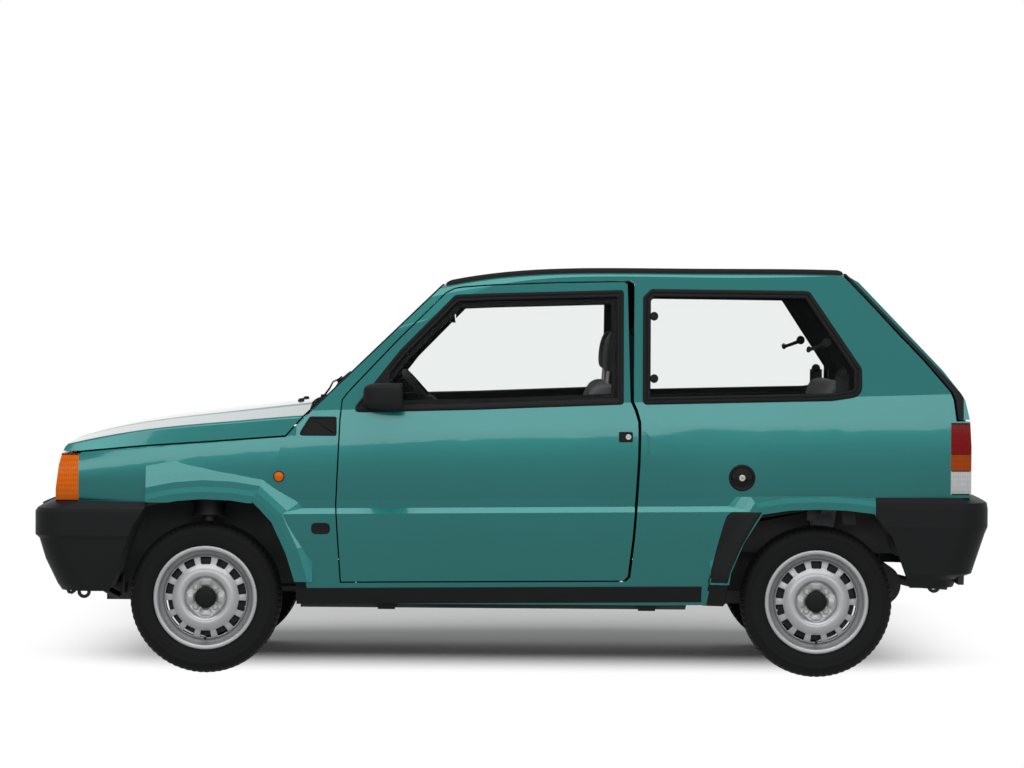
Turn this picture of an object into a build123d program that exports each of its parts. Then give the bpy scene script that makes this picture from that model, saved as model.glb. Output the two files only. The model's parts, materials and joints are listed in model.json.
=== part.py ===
from build123d import *
import os
from math import copysign, cos, hypot, radians, sin

os.makedirs("parts", exist_ok=True)

# Small three-door hatchback, in millimetres. The front faces -X, the left side -Y, the ground is Z = 0.

# ---- overall sizes ----
BUMPER_X = 1704.0  # foremost and rearmost faces of the bumpers
NOSE_BACK = 64.0  # painted front behind the bumper's face, at the middle
TAIL_BACK = 72.0  # painted rear ahead of the bumper's face, at the middle
HALF_WIDTH = 742.0  # body at the top of its side step
RAKE = 0.0122  # the side creases rise this much toward the rear
AXLE_X = 1080.0
WHEEL_INSET = 110.0  # middle of a tyre inside the body's side
TRACK_HALF = HALF_WIDTH - WHEEL_INSET

# ---- wheels ----
TYRE_R = 268.0
TYRE_WIDTH = 134.0
RIM_R = 182.0
RIM_WALL = 5.0
RIM_HOLES = 14
HOLE_RING_R = 129.0

# ---- thicknesses ----
WALL = 66.0  # doors and cabin sides
PANEL = 20.0  # wings and bonnet
ROOF = 32.0
BUMPER_WALL = 24.0
GLASS = 5.0
FLOOR = 20.0
LINER = 10.0  # wheel boxes

TOW_HOLE_R, TOW_PLATE = 12.0, 10.0
JACK_X, JACK_Z = (-440.0, 480.0), 232.0  # jacking pads under the sills

# ---- clearances ----
GAP = 5.0  # shut gaps round doors and lids
RUN = 6.0  # between moving and standing pieces inside

# ---- joints ----
KINGPIN_LOW = (-AXLE_X, TRACK_HALF - 47.0, TYRE_R - 103.0)
KINGPIN_TOP = (-AXLE_X, TRACK_HALF - 142.0, 700.0)
WHEEL_CENTRE = (-276.0, -360.0, 933.0)  # steering wheel
COLUMN_DIR = Vector(-0.7605, 0.0, -0.6495)  # from the steering wheel down the column


DRAWN_END = 1704.0  # half length that the outlines below are drawn for
STRETCH = (BUMPER_X - AXLE_X) / (DRAWN_END - AXLE_X)


def along(x):
    """Real place of a drawn x: beyond the axles the outlines stretch with the overall length."""
    return x if abs(x) <= AXLE_X else copysign(AXLE_X + (abs(x) - AXLE_X) * STRETCH, x)


def drawn(x):
    """The drawn x of a real place: along() turned round."""
    return x if abs(x) <= AXLE_X else copysign(AXLE_X + (abs(x) - AXLE_X) / STRETCH, x)


def placed(outline):
    return [(along(x), z) for x, z in outline]


NOSE_X, TAIL_X = -(BUMPER_X - NOSE_BACK), BUMPER_X - TAIL_BACK


def taper(x):
    """How far the sides draw in, in plan, toward each end."""
    front = max(0.0, -x - 900.0) / 700.0
    rear = max(0.0, x - 950.0) / 650.0
    return 4.0 * (x / 1700.0) ** 2 + 38.0 * front**2 + 32.0 * rear**2


def belt_z(x):
    """Height of the crease under the windows."""
    d = x + 600.0
    return 847.0 + (0.062 * d - 1.9e-5 * d * d if d < 0 else 0.0406 * d - 6.7e-6 * d * d)


def gutter_z(x):
    """Height of the roof's side edge."""
    return 1432.0 - 51.0 * (max(0.0, 450.0 - x) / 692.0) ** 3 - 4.0 * (max(0.0, x - 800.0) / 385.0) ** 2


def bonnet_edge_z(x):
    """Height of the crease along the bonnet's side."""
    d = x + 732.0
    return 914.0 + 0.0751 * d - 2.97e-5 * d * d - 1.49e-4 * min(0.0, d + 450.0) ** 2


def bonnet_mid_z(x):
    """Height of the bonnet on the middle plane."""
    return 959.0 + 0.122 * (x + 747.0) - 3.4e-7 * max(0.0, -x - 1100.0) ** 3


def seam_z(x):
    """Height of the seam between bonnet and wing."""
    return belt_z(x) + 8.0


# ---- makers of plain solids ----
def block(x0, x1, y0, y1, z0, z1):
    x0, x1 = along(x0), along(x1)
    with BuildPart() as p:
        with Locations(((x0 + x1) / 2, (y0 + y1) / 2, (z0 + z1) / 2)):
            Box(abs(x1 - x0), abs(y1 - y0), abs(z1 - z0))
    return p.part


def side_cut(outline, y_from, y_to, radii=None):
    """Solid between two Y planes whose side view is the outline of (x, z) points."""
    with BuildPart() as p:
        with BuildSketch(Plane.XZ.offset(-y_from)):
            with BuildLine():
                if radii is None:
                    Polyline(*placed(outline), close=True)
                else:
                    FilletPolyline(*placed(outline), radius=radii, close=True)
            make_face()
        extrude(amount=y_from - y_to)
    return p.part


def grown(outline, amount, y_from, y_to):
    """Like side_cut, with the outline offset by an amount."""
    with BuildPart() as p:
        with BuildSketch(Plane.XZ.offset(-y_from)):
            with BuildLine():
                Polyline(*placed(outline), close=True)
            make_face()
            offset(amount=amount, kind=Kind.INTERSECTION)
        extrude(amount=y_from - y_to)
    return p.part


def splayed(outer_outline, y_outer, inner_outline, y_inner):
    """Solid that runs straight from one side view at one Y to another at a second Y."""
    with BuildPart() as p:
        for outline, y in ((outer_outline, y_outer), (inner_outline, y_inner)):
            with BuildSketch(Plane.XZ.offset(-y)):
                with BuildLine():
                    Polyline(*placed(outline), close=True)
                make_face()
        loft(ruled=True)
    return p.part


def rod(start, end, radius, inner=0.0):
    """Round bar or tube between two points."""
    a, b = (Vector(along(p[0]), p[1], p[2]) for p in (tuple(start), tuple(end)))
    with BuildPart() as p:
        with BuildSketch(Plane(origin=a, z_dir=b - a)):
            Circle(radius)
            if inner:
                Circle(inner, mode=Mode.SUBTRACT)
        extrude(amount=(b - a).length)
    return p.part


def bent_pipe(points, radius, bend):
    """Pipe along a route with rounded bends."""
    route_points = [(along(x), y, z) for x, y, z in points]
    with BuildPart() as p:
        with BuildLine() as route:
            FilletPolyline(*route_points, radius=bend)
        with BuildSketch(Plane(origin=route_points[0], z_dir=route.line % 0)):
            Circle(radius)
        sweep(path=route.line)
    return p.part


def other_side(shape):
    return shape.mirror(Plane.XZ)


def tow_eye(x, y, z, top):
    """Plate with a hole, hung from a cross panel."""
    x = along(x)
    with BuildPart() as p:
        with BuildSketch(Plane.XZ.offset(-y - TOW_PLATE / 2)):
            with Locations((x, z)):
                Circle(TOW_HOLE_R * 2)
            with Locations((x, (z + top) / 2)):
                Rectangle(TOW_HOLE_R * 2 + 6, top - z)
            with Locations((x, z)):
                Circle(TOW_HOLE_R, mode=Mode.SUBTRACT)
        extrude(amount=TOW_PLATE)
    return p.part


# ---- skins: closed solids that the panels are cut from ----
FAR = HALF_WIDTH + 158.0  # beyond everything at either side
SIDE_STATIONS = (-1700, -1300, -900, -500, 0, 500, 1000, 1350, 1700)


def side_points(x, inset):
    t, r = taper(x) + inset, RAKE * x
    return [
        (HALF_WIDTH - 52 - t, 246 + r),
        (HALF_WIDTH - 20 - t, 318 + r),
        (HALF_WIDTH - 3 - t, 480 + r),
        (HALF_WIDTH - t, 578 + r),
        (HALF_WIDTH - 15 - t, 597 + r),
        (HALF_WIDTH - 14 - t, 627 + r),
        (HALF_WIDTH - 10 - t, 740),
        (HALF_WIDTH - 17 - t, belt_z(x)),
        (HALF_WIDTH - 26 - t, 955.5 + 0.0325 * x),
        (HALF_WIDTH - 161 - t, 1500),
    ]


def side_skin(inset):
    """Both body sides with their step, creases and lean, as one long solid."""
    with BuildPart() as p:
        for x in SIDE_STATIONS:
            with BuildSketch(Plane.YZ.offset(along(x))):
                with BuildLine():
                    for side in (-1, 1):
                        q = [(side * w, z) for w, z in side_points(x, inset)]
                        Line(q[0], q[1])
                        ThreePointArc(q[1], q[2], q[3])
                        Polyline(q[3], q[4], q[5])
                        ThreePointArc(q[5], q[6], q[7])
                        Polyline(q[7], q[8], q[9])
                    low, high = side_points(x, inset)[0], side_points(x, inset)[9]
                    Line((-low[0], low[1]), (low[0], low[1]))
                    Line((-high[0], high[1]), (high[0], high[1]))
                make_face()
        loft()
    return p.part


def roof_skin(drop):
    """Solid under the roof's outer surface, or under one lowered by drop."""
    with BuildPart() as p:
        for x in (-760, -420, -242, -42, 200, 450, 800, 1250, 1700):
            z = gutter_z(x) - drop
            set_in = [(102, z - 110), (131, z - 32), (145, z - 9), (167, z)]
            half = [(FAR, 150), (FAR, z - 420)] + [(HALF_WIDTH - d - drop, h) for d, h in set_in]
            with BuildSketch(Plane.YZ.offset(along(x))):
                with BuildLine():
                    left = FilletPolyline(*[(-w, h) for w, h in half], radius=[10, 10, 20, 8])
                    right = FilletPolyline(*[(w, h) for w, h in reversed(half)], radius=[8, 20, 10, 10])
                    ThreePointArc(left @ 1, (0, z + 12), right @ 0)
                    Line(right @ 1, left @ 0)
                make_face()
        loft()
    return p.part


def bonnet_skin(drop):
    """Solid under the bonnet's outer surface, or under one lowered by drop."""
    with BuildPart() as p:
        for x in (-1700, -1620, -1540, -1440, -1300, -1100, -900, -700, -600):
            t = taper(x)
            edge, mid = bonnet_edge_z(x) - drop, bonnet_mid_z(x) - drop
            half = [
                (FAR, 300),
                (FAR, seam_z(x) - 260 - drop),
                (HALF_WIDTH - 18 - t - 0.8 * drop, seam_z(x) - drop),
                (HALF_WIDTH - 44 - t - 0.8 * drop, edge),
                (HALF_WIDTH - 312 - 0.5 * t, mid - 0.30 * (mid - edge)),
                (HALF_WIDTH - 337 - 0.5 * t, mid - 0.16 * (mid - edge)),
            ]
            with BuildSketch(Plane.YZ.offset(along(x))):
                with BuildLine():
                    left = FilletPolyline(*[(-w, h) for w, h in half], radius=[10, 5, 14, 12])
                    right = FilletPolyline(*[(w, h) for w, h in reversed(half)], radius=[12, 14, 5, 10])
                    ThreePointArc(left @ 1, (0, mid), right @ 0)
                    Line(right @ 1, left @ 0)
                make_face()
        loft()
    return p.part


# height, and how far the nose's face leans back there
NOSE_LEAN = [(150, 0), (650, 0), (734, 11), (776, 22), (798, 33), (812, 48), (822, 68), (1550, 80)]


def plan_solid(nose_x, tail_x, half):
    """Tall solid with the car's rounded ends in plan and its leaning nose."""
    with BuildPart() as p:
        for height, back in NOSE_LEAN:
            front = nose_x + back
            with BuildSketch(Plane.XY.offset(height)):
                with BuildLine():
                    ThreePointArc((front + 50, -half), (front, 0), (front + 50, half))
                    ThreePointArc((tail_x - 17, -half), (tail_x, 0), (tail_x - 17, half))
                    Line((front + 50, -half), (tail_x - 17, -half))
                    Line((front + 50, half), (tail_x - 17, half))
                make_face()
        loft(ruled=True)
    return p.part


SCREEN_TOP, SCREEN_SLOPE = (-242.0, 1383.0), 1.027


def screen_x(z, back=0.0):
    """X of the windscreen's plane at a height, or of one set back from it."""
    return SCREEN_TOP[0] - (SCREEN_TOP[1] - z) * SCREEN_SLOPE + back * hypot(1.0, SCREEN_SLOPE)


TAIL_LINE = [(1194, 1417), (1226, 1399), (1520, 1090), (1585, 1008), (1600, 984), (1617, 912), (1632, 640)]

side_0 = side_skin(0.0)
plan_0 = plan_solid(NOSE_X, TAIL_X, FAR)
silhouette = side_cut(
    [(screen_x(300), 300), (screen_x(1500), 1500), (1060, 1500), (1184, 1429)] + TAIL_LINE + [(1640, 150)],
    -FAR, FAR,
)
cabin_solid = side_0 & roof_skin(0.0) & silhouette & plan_0
nose_space = block(-1800, -700, -FAR, FAR, 150, 1100)
nose_solid = side_0 & bonnet_skin(0.0) & plan_0 & nose_space


def cabin_hollow():
    """Space inside the cabin: the sides less their walls, under the roof less its thickness."""
    with BuildPart() as p:
        for x in SIDE_STATIONS:
            t = taper(x) + WALL
            top_half = HALF_WIDTH - 137 - 0.7 * WALL - taper(x)
            half = [(HALF_WIDTH - 26 - t, 100), (HALF_WIDTH - 24 - t, 940), (top_half, 1500)]
            with BuildSketch(Plane.YZ.offset(along(x))):
                with BuildLine():
                    Polyline(*[(-w, z) for w, z in half], *[(w, z) for w, z in reversed(half)], close=True)
                make_face()
        loft()
    return p.part


room = cabin_hollow()
hollow = room & roof_skin(ROOF)
cabin_shell = cabin_solid - hollow
side_thin = side_skin(PANEL)
glass_out, glass_in = side_skin(9.0), side_skin(9.0 + GLASS)
left_half = block(-1800, 1800, -FAR, 0, 0, 1600)

# ---- side view outlines, (x, z) ----
FRONT_ARCH = [
    (-1440, 150), (-1420, 283), (-1391, 359), (-1362, 446), (-1334, 519), (-1290, 590), (-1180, 612),
    (-1088, 619), (-990, 615), (-916, 604), (-844, 539), (-794, 431), (-754, 305), (-748, 150),
]
REAR_ARCH = [
    (744, 150), (754, 250), (774, 372), (818, 476), (883, 579), (980, 594), (1081, 598), (1180, 595),
    (1276, 584), (1341, 500), (1389, 371), (1410, 310), (1416, 150),
]
WING_SEAM = [(-794, 842), (-912, 612)]
DOOR = [
    (-599, 331), (-617, 600), (-604, 903), (-597, 970), (-578, 996), (-400, 1186), (-236, 1350),
    (-206, 1365), (-177, 1370), (-73, 1378), (157, 1388), (414, 1394), (426, 1386), (424, 972),
    (438, 941), (450, 900), (451, 850), (449, 767), (441, 622), (431, 492), (416, 356), (402, 342),
]
DOOR_INSIDE = [
    (-599, 331), (-617, 600), (-604, 903), (-597, 970), (-578, 996), (-400, 1186), (-236, 1350),
    (-206, 1365), (-177, 1370), (-73, 1378), (157, 1388), (386, 1393.3), (398, 1386), (396, 972),
    (410, 941), (422, 900), (423, 850), (421, 767), (413, 622), (403, 492), (390, 356), (378, 342),
]
DOOR_WINDOW = [(-563, 930), (-132, 943), (389, 965), (389, 1362), (-73, 1347), (-203, 1341), (-395, 1145)]
DOOR_WINDOW_R = [16, 0, 8, 8, 0, 24, 0]
QUARTER = [(464, 966), (1128, 984), (1229, 1000), (1229, 1092), (1048, 1362), (492, 1365), (466, 1340)]
QUARTER_R = [14, 40, 40, 30, 20, 10, 6]
TAILGATE_GAP = [
    (1182, 1419), (1292, 1303), (1377, 1210), (1458, 1126), (1555, 1013), (1566, 985), (1576, 916),
]

# ---- doors, their glass and mirrors ----
door_solid = splayed(DOOR, -HALF_WIDTH - 33, DOOR_INSIDE, -HALF_WIDTH + 197)
window_left = side_cut(DOOR_WINDOW, -FAR, -300, DOOR_WINDOW_R)
door_opening = grown(DOOR, GAP, -FAR, -300)

with BuildPart() as left_door:
    add(cabin_shell)
    add(door_solid, mode=Mode.INTERSECT)
    add(window_left, mode=Mode.SUBTRACT)
left_door.part.label = "left_door"
export_step(left_door.part, "parts/left_door.step")

with BuildPart() as right_door:
    add(left_door.part)
    mirror(about=Plane.XZ, mode=Mode.REPLACE)
right_door.part.label = "right_door"
export_step(right_door.part, "parts/right_door.step")

with BuildPart() as left_door_glass:
    add(glass_out)
    add(glass_in, mode=Mode.SUBTRACT)
    add(window_left, mode=Mode.INTERSECT)
left_door_glass.part.label = "left_door_glass"
export_step(left_door_glass.part, "parts/left_door_glass.step")

with BuildPart() as right_door_glass:
    add(left_door_glass.part)
    mirror(about=Plane.XZ, mode=Mode.REPLACE)
right_door_glass.part.label = "right_door_glass"
export_step(right_door_glass.part, "parts/right_door_glass.step")

mirror_sail = (side_skin(1.0) - glass_out) & side_cut([(-532, 936), (-432, 1086), (-432, 939)], -FAR, -300)
MIRROR_AT = (-452.0, -HALF_WIDTH - 55.0, 985.0)
MIRROR_SIZE = (86.0, 148.0, 96.0)  # along the car, outward, tall
with BuildPart() as left_mirror:
    with BuildSketch(Plane.YZ.offset(MIRROR_AT[0] - MIRROR_SIZE[0] / 2)):
        with Locations((MIRROR_AT[1], MIRROR_AT[2])):
            RectangleRounded(MIRROR_SIZE[1] - 46, MIRROR_SIZE[2] - 34, 22)
    with BuildSketch(Plane.YZ.offset(MIRROR_AT[0] + MIRROR_SIZE[0] / 2)):
        with Locations((MIRROR_AT[1], MIRROR_AT[2])):
            RectangleRounded(MIRROR_SIZE[1], MIRROR_SIZE[2], 24)
    loft()
    with BuildSketch(Plane.YZ.offset(MIRROR_AT[0] + MIRROR_SIZE[0] / 2)):
        with Locations((MIRROR_AT[1], MIRROR_AT[2])):
            RectangleRounded(MIRROR_SIZE[1] - 14, MIRROR_SIZE[2] - 14, 18)
    extrude(amount=-8, mode=Mode.SUBTRACT)
    foot = side_cut([(-508, 945), (-440, 945), (-440, 1015), (-470, 1012)], -HALF_WIDTH + 7, -HALF_WIDTH + 62)
    add(foot - glass_out)
    add(mirror_sail)
left_mirror.part.label = "left_mirror"
export_step(left_mirror.part, "parts/left_mirror.step")

with BuildPart() as right_mirror:
    add(left_mirror.part)
    mirror(about=Plane.XZ, mode=Mode.REPLACE)
right_mirror.part.label = "right_mirror"
export_step(right_mirror.part, "parts/right_mirror.step")

# ---- wheel wells and flares ----
WELL_IN = {"front": TRACK_HALF - 230.0, "rear": TRACK_HALF - 154.0}
front_well = side_cut(FRONT_ARCH, -FAR, -WELL_IN["front"])
rear_well = side_cut(REAR_ARCH, -FAR, -WELL_IN["rear"])
wells = [front_well, rear_well, other_side(front_well), other_side(rear_well)]


FLARE_OUT = 8.0  # an arch's edge beyond the body's widest line
FLARE_LIP = 26.0  # upright lip round the arch
# beyond the arch's edge, and in from the flare's outer face
FLARE_SECTION = [(FLARE_LIP, 0.0), (44.0, 8.0), (66.0, 14.5), (96.0, 20.0), (140.0, 27.0)]


def flare(outline):
    """Raised band over an arch: an upright lip, then a hollow curve that runs out into the body's side."""
    outer = -HALF_WIDTH - FLARE_OUT
    with BuildPart() as p:
        for amount, step in FLARE_SECTION:
            with BuildSketch(Plane.XZ.offset(-outer - step)):
                with BuildLine():
                    Polyline(*placed(outline), close=True)
                make_face()
                offset(amount=amount, kind=Kind.INTERSECTION)
        loft(ruled=True)
    return p.part


front_flare = flare(FRONT_ARCH) & block(-1289, -700, -FAR, -600, 330, 800)
front_flare -= front_well
rear_flare = flare(REAR_ARCH) & block(700, 1400, -FAR, -600, 330, 640)
rear_flare -= rear_well

# ---- body sides: front post, sill, quarter, with the rails round the door ----
ROOF_SEAM = [
    (-330, 1362), (-206, 1373), (-177, 1377), (-73, 1385), (157, 1395), (430, 1401), (1173, 1405),
    (1175, 1436),
]
side_outline = (
    [(-912, 612), (-794, 842), (-708, 941), (-735, 960)] + ROOF_SEAM
    + [(x - 8.0, z - 1.0) for x, z in TAILGATE_GAP[:-1]] + [(1568, 910)]
    + [(1700, 910), (1700, 640), (1281, 640), (1281, 246), (-754, 236), (-754, 305), (-844, 539)]
)
side_zone = side_cut(side_outline, -FAR, 0)
quarter_hole = side_cut(QUARTER, -FAR, -300, QUARTER_R)
TAIL_HALF = HALF_WIDTH - 197.0  # half width of the tailgate below the window
lamp_space = block(1549, 1700, -FAR, -TAIL_HALF - 3, 650, 905)


def screen_slab(front, back):
    """Slab parallel to the windscreen, between two depths behind its plane, trimmed to the glass outline."""
    low, high = 938.0, 1374.0
    corners = ((low, front), (high, front), (high, back), (low, back))
    band = side_cut([(screen_x(z, depth), z) for z, depth in corners], -FAR, FAR)
    wide, narrow = HALF_WIDTH - 102, HALF_WIDTH - 182
    with BuildPart() as p:
        with BuildSketch(Plane.YZ.offset(-900)):
            with BuildLine():
                corners = [(-wide, low), (wide, low), (narrow, high), (-narrow, high)]
                FilletPolyline(*corners, radius=30, close=True)
            make_face()
        extrude(amount=1000)
        add(band, mode=Mode.INTERSECT)
    return p.part


screen_space = screen_slab(-40.0, 14.0)
post_front = nose_solid & block(-1000, -700, -FAR, -HALF_WIDTH + 80, 150, 1100)
side_stock = (cabin_shell & left_half) + post_front + front_flare + rear_flare

SCOOP_DEPTH = 14.0  # finger recess behind the door's rear edge
SCOOP = [(430, 762), (466, 766), (484, 782), (486, 846), (470, 866), (430, 870)]
scoop = side_cut(SCOOP, -FAR, -600, [0, 14, 14, 14, 14, 0]) - side_skin(SCOOP_DEPTH)
with BuildPart() as left_body_side:
    add(side_stock)
    add(side_zone, mode=Mode.INTERSECT)
    holes = [door_opening, quarter_hole, rear_well, front_well, lamp_space, screen_space, scoop]
    add(holes, mode=Mode.SUBTRACT)
    for x in JACK_X:
        add(block(x - 30, x + 30, -HALF_WIDTH + 54, -HALF_WIDTH + 88, JACK_Z, 256))
left_body_side.part.label = "left_body_side"
export_step(left_body_side.part, "parts/left_body_side.step")

with BuildPart() as right_body_side:
    add(left_body_side.part)
    mirror(about=Plane.XZ, mode=Mode.REPLACE)
right_body_side.part.label = "right_body_side"
export_step(right_body_side.part, "parts/right_body_side.step")

with BuildPart() as quarter_windows:
    add(glass_out)
    add(glass_in, mode=Mode.SUBTRACT)
    add(quarter_hole, mode=Mode.INTERSECT)
    mirror(about=Plane.XZ)
quarter_windows.part.label = "quarter_windows"
export_step(quarter_windows.part, "parts/quarter_windows.step")

# ---- roof and windscreen ----
with BuildPart() as roof_panel:
    add(cabin_shell)
    add(side_cut(ROOF_SEAM + [(1176, 1500), (-330, 1500)], -FAR, FAR), mode=Mode.INTERSECT)
    add(screen_space, mode=Mode.SUBTRACT)
roof_panel.part.label = "roof_panel"
export_step(roof_panel.part, "parts/roof_panel.step")

with BuildPart() as windscreen:
    add(screen_slab(14.0 - GLASS, 14.0))
windscreen.part.label = "windscreen"
export_step(windscreen.part, "parts/windscreen.step")

# ---- wings and bonnet ----
nose_hollow = side_thin & bonnet_skin(PANEL) & plan_solid(NOSE_X + PANEL, TAIL_X, FAR) & nose_space
wing_outline = [
    (-1529, 606), (-1529, 778), (-1308, 800), (-1092, 816), (-795.54, 839), (-912, 612), (-912, 606),
]
with BuildPart() as front_wings:
    add((side_0 - side_thin) & nose_space & left_half)
    add(front_flare)
    add(side_cut(wing_outline, -FAR, 0), mode=Mode.INTERSECT)
    add(front_well, mode=Mode.SUBTRACT)
    mirror(about=Plane.XZ)
front_wings.part.label = "front_wings"
export_step(front_wings.part, "parts/front_wings.step")

BONNET_REAR_X = -722.0
bonnet_outline = [
    (-1700, 781), (-1529, 784), (-1308, 806), (-1092, 822), (-799, 845), (BONNET_REAR_X, 933),
    (BONNET_REAR_X, 1100), (-1700, 1100),
]
with BuildPart() as bonnet:
    add(nose_solid)
    add(nose_hollow, mode=Mode.SUBTRACT)
    add(side_cut(bonnet_outline, -FAR, FAR), mode=Mode.INTERSECT)
bonnet.part.label = "bonnet"
export_step(bonnet.part, "parts/bonnet.step")

# ---- tailgate ----
SLOPE_N = Vector(0.721, 0, 0.693)
slope = Plane(origin=(along(1373), 0, 1245), x_dir=(0, 1, 0), z_dir=SLOPE_N)


def rear_window(front, back):
    """Slab in the tailgate's slope, between two distances from its plane."""
    wide, narrow = HALF_WIDTH - 170, HALF_WIDTH - 242
    with BuildPart() as p:
        with BuildSketch(slope.offset(front)):
            with BuildLine():
                corners = [(-wide, -130), (wide, -130), (narrow, 156), (-narrow, 156)]
                FilletPolyline(*corners, radius=40, close=True)
            make_face()
        extrude(amount=back - front)
    return p.part


upper_band = side_cut(TAILGATE_GAP + [(1700, 916), (1700, 1500), (1182, 1500)], -FAR, FAR)
lower_band = side_cut([(1578, 930), (1586, 646), (1700, 646), (1700, 930)], -TAIL_HALF, TAIL_HALF)
with BuildPart() as tailgate:
    add(cabin_solid)
    add(upper_band + lower_band, mode=Mode.INTERSECT)
    add(rear_window(40, -80), mode=Mode.SUBTRACT)
tailgate.part.label = "tailgate"
export_step(tailgate.part, "parts/tailgate.step")

with BuildPart() as tailgate_glass:
    add(rear_window(-8.0, -8.0 - GLASS))
tailgate_glass.part.label = "tailgate_glass"
export_step(tailgate_glass.part, "parts/tailgate_glass.step")

with BuildPart() as tail_lamps:
    add(cabin_solid)
    add(block(1549, 1700, -FAR, -TAIL_HALF - GAP, 650, 905), mode=Mode.INTERSECT)
    mirror(about=Plane.XZ)
tail_lamps.part.label = "tail_lamps"
export_step(tail_lamps.part, "parts/tail_lamps.step")


# ---- bumpers ----
BOW = {"front": 17.0, "rear": 17.0}  # how far a bumper's face curves back from the middle to its corners
CORNER = 105.0  # radius of a bumper's corners in plan


def bumper(end, profile, back_x, wall):
    """Solid that wraps one end of the car: a plan outline for each height, set in from the face."""
    sign = 1 if end == "rear" else -1
    face_x, bow, back_x = sign * BUMPER_X, BOW[end], along(back_x)
    with BuildPart() as p:
        for z, inset in profile:
            w = HALF_WIDTH + 2.0 - wall - 0.30 * inset
            fx = face_x - sign * (inset + wall)
            edge_x = fx - sign * bow
            k = CORNER * (1 - cos(radians(45)))
            with BuildSketch(Plane.XY.offset(z)):
                with BuildLine():
                    for s in (-1, 1):
                        start, end = (edge_x - sign * CORNER, s * w), (edge_x, s * (w - CORNER))
                        Line((back_x, s * w), start)
                        ThreePointArc(start, (edge_x - sign * k, s * (w - k)), end)
                    ThreePointArc((edge_x, -(w - CORNER)), (fx, 0), (edge_x, w - CORNER))
                    Line((back_x, -w), (back_x, w))
                make_face()
        loft(ruled=True)
    return p.part


LEDGE = 100.0  # depth of a bumper's top wall
FRONT_PROFILE = [(290, 92), (312, 77), (400, 36), (474, 14), (487, 0), (570, 0), (582, 8), (606, 66)]
REAR_PROFILE = [(322, 118), (351, 105), (371, 55), (513, 10), (537, 0), (600, 0), (623, 4), (640, 72)]


def bumper_inside(profile):
    """Heights and insets of a bumper's hollow: open below, closed by its top wall."""
    low = [(profile[0][0] - 20, profile[0][1])]
    return low + [(z, d) for z, d in profile[1:-2]] + [(profile[-2][0] - 4, profile[-2][1])]


with BuildPart() as front_bumper:
    add(bumper("front", FRONT_PROFILE, -1240, 0))
    add(bumper("front", bumper_inside(FRONT_PROFILE), -1200, BUMPER_WALL), mode=Mode.SUBTRACT)
    add(front_well + other_side(front_well), mode=Mode.SUBTRACT)
    add(bumper("front", [(260, LEDGE), (620, LEDGE)], -1200, 0), mode=Mode.SUBTRACT)
    add(block(-1290, -1100, -FAR, FAR, 200, 700), mode=Mode.SUBTRACT)
front_bumper.part.label = "front_bumper"
export_step(front_bumper.part, "parts/front_bumper.step")

with BuildPart() as rear_bumper:
    add(bumper("rear", REAR_PROFILE, 1240, 0))
    add(bumper("rear", bumper_inside(REAR_PROFILE), 1200, BUMPER_WALL), mode=Mode.SUBTRACT)
    add(rear_well + other_side(rear_well), mode=Mode.SUBTRACT)
    add(bumper("rear", [(300, LEDGE + 30), (660, LEDGE + 30)], 1200, 0), mode=Mode.SUBTRACT)
    add(block(1100, 1281, -FAR, FAR, 200, 700), mode=Mode.SUBTRACT)
rear_bumper.part.label = "rear_bumper"
export_step(rear_bumper.part, "parts/rear_bumper.step")

side_35, side_60 = side_skin(35.0), side_skin(60.0)
with BuildPart() as rear_panel:
    add(side_35 - side_60)
    add(block(1418, 1604, -FAR, FAR, 380, 600) + block(1418, 1560, -FAR, FAR, 600, 640), mode=Mode.INTERSECT)
    add(side_35 & block(1584, 1604, -FAR, FAR, 330, 630))
    add([rear_well, other_side(rear_well), rear_bumper.part], mode=Mode.SUBTRACT)
rear_panel.part.label = "rear_panel"
export_step(rear_panel.part, "parts/rear_panel.step")

# ---- floor, bulkhead, frame ----
FLOOR_TOP, BOOT_TOP = 255.0, 450.0
BOOT_UNDER, FLOOR_UNDER = BOOT_TOP - FLOOR, FLOOR_TOP - FLOOR
HEEL_X = 600.0  # where the floor turns up to the boot
TUNNEL = (-710.0, HEEL_X - 10)  # from and to, along the car
TUNNEL_HALF, TUNNEL_TOP, TUNNEL_WALL = 95.0, 319.0, 20.0
bore = TUNNEL_HALF - TUNNEL_WALL
rear_wells = rear_well + other_side(rear_well)
with BuildPart() as floor_pan:
    add(block(-745, HEEL_X, -FAR, FAR, FLOOR_UNDER, FLOOR_TOP))
    add(block(*TUNNEL, -TUNNEL_HALF, TUNNEL_HALF, FLOOR_TOP, TUNNEL_TOP))
    add(room, mode=Mode.INTERSECT)
    add(block(TUNNEL[0] - 50, TUNNEL[1] + 50, -bore, bore, 200, TUNNEL_TOP - 19), mode=Mode.SUBTRACT)
floor_pan.part.label = "floor_pan"
export_step(floor_pan.part, "parts/floor_pan.step")

boot_line = [
    (HEEL_X, FLOOR_TOP), (HEEL_X + 40, BOOT_TOP), (1584, BOOT_TOP), (1584, BOOT_UNDER),
    (HEEL_X + 58, BOOT_UNDER), (HEEL_X + 18, FLOOR_UNDER), (HEEL_X, FLOOR_UNDER),
]
with BuildPart() as boot_floor:
    add(side_cut(boot_line, -FAR, FAR))
    add(room, mode=Mode.INTERSECT)
    add(rear_wells, mode=Mode.SUBTRACT)
    add(block(HEEL_X - 10, HEEL_X + 60, -bore, bore, 200, TUNNEL_TOP - 19), mode=Mode.SUBTRACT)
    add(tow_eye(1535, -300, 300, BOOT_UNDER + 5))
boot_floor.part.label = "boot_floor"
export_step(boot_floor.part, "parts/boot_floor.step")

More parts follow.
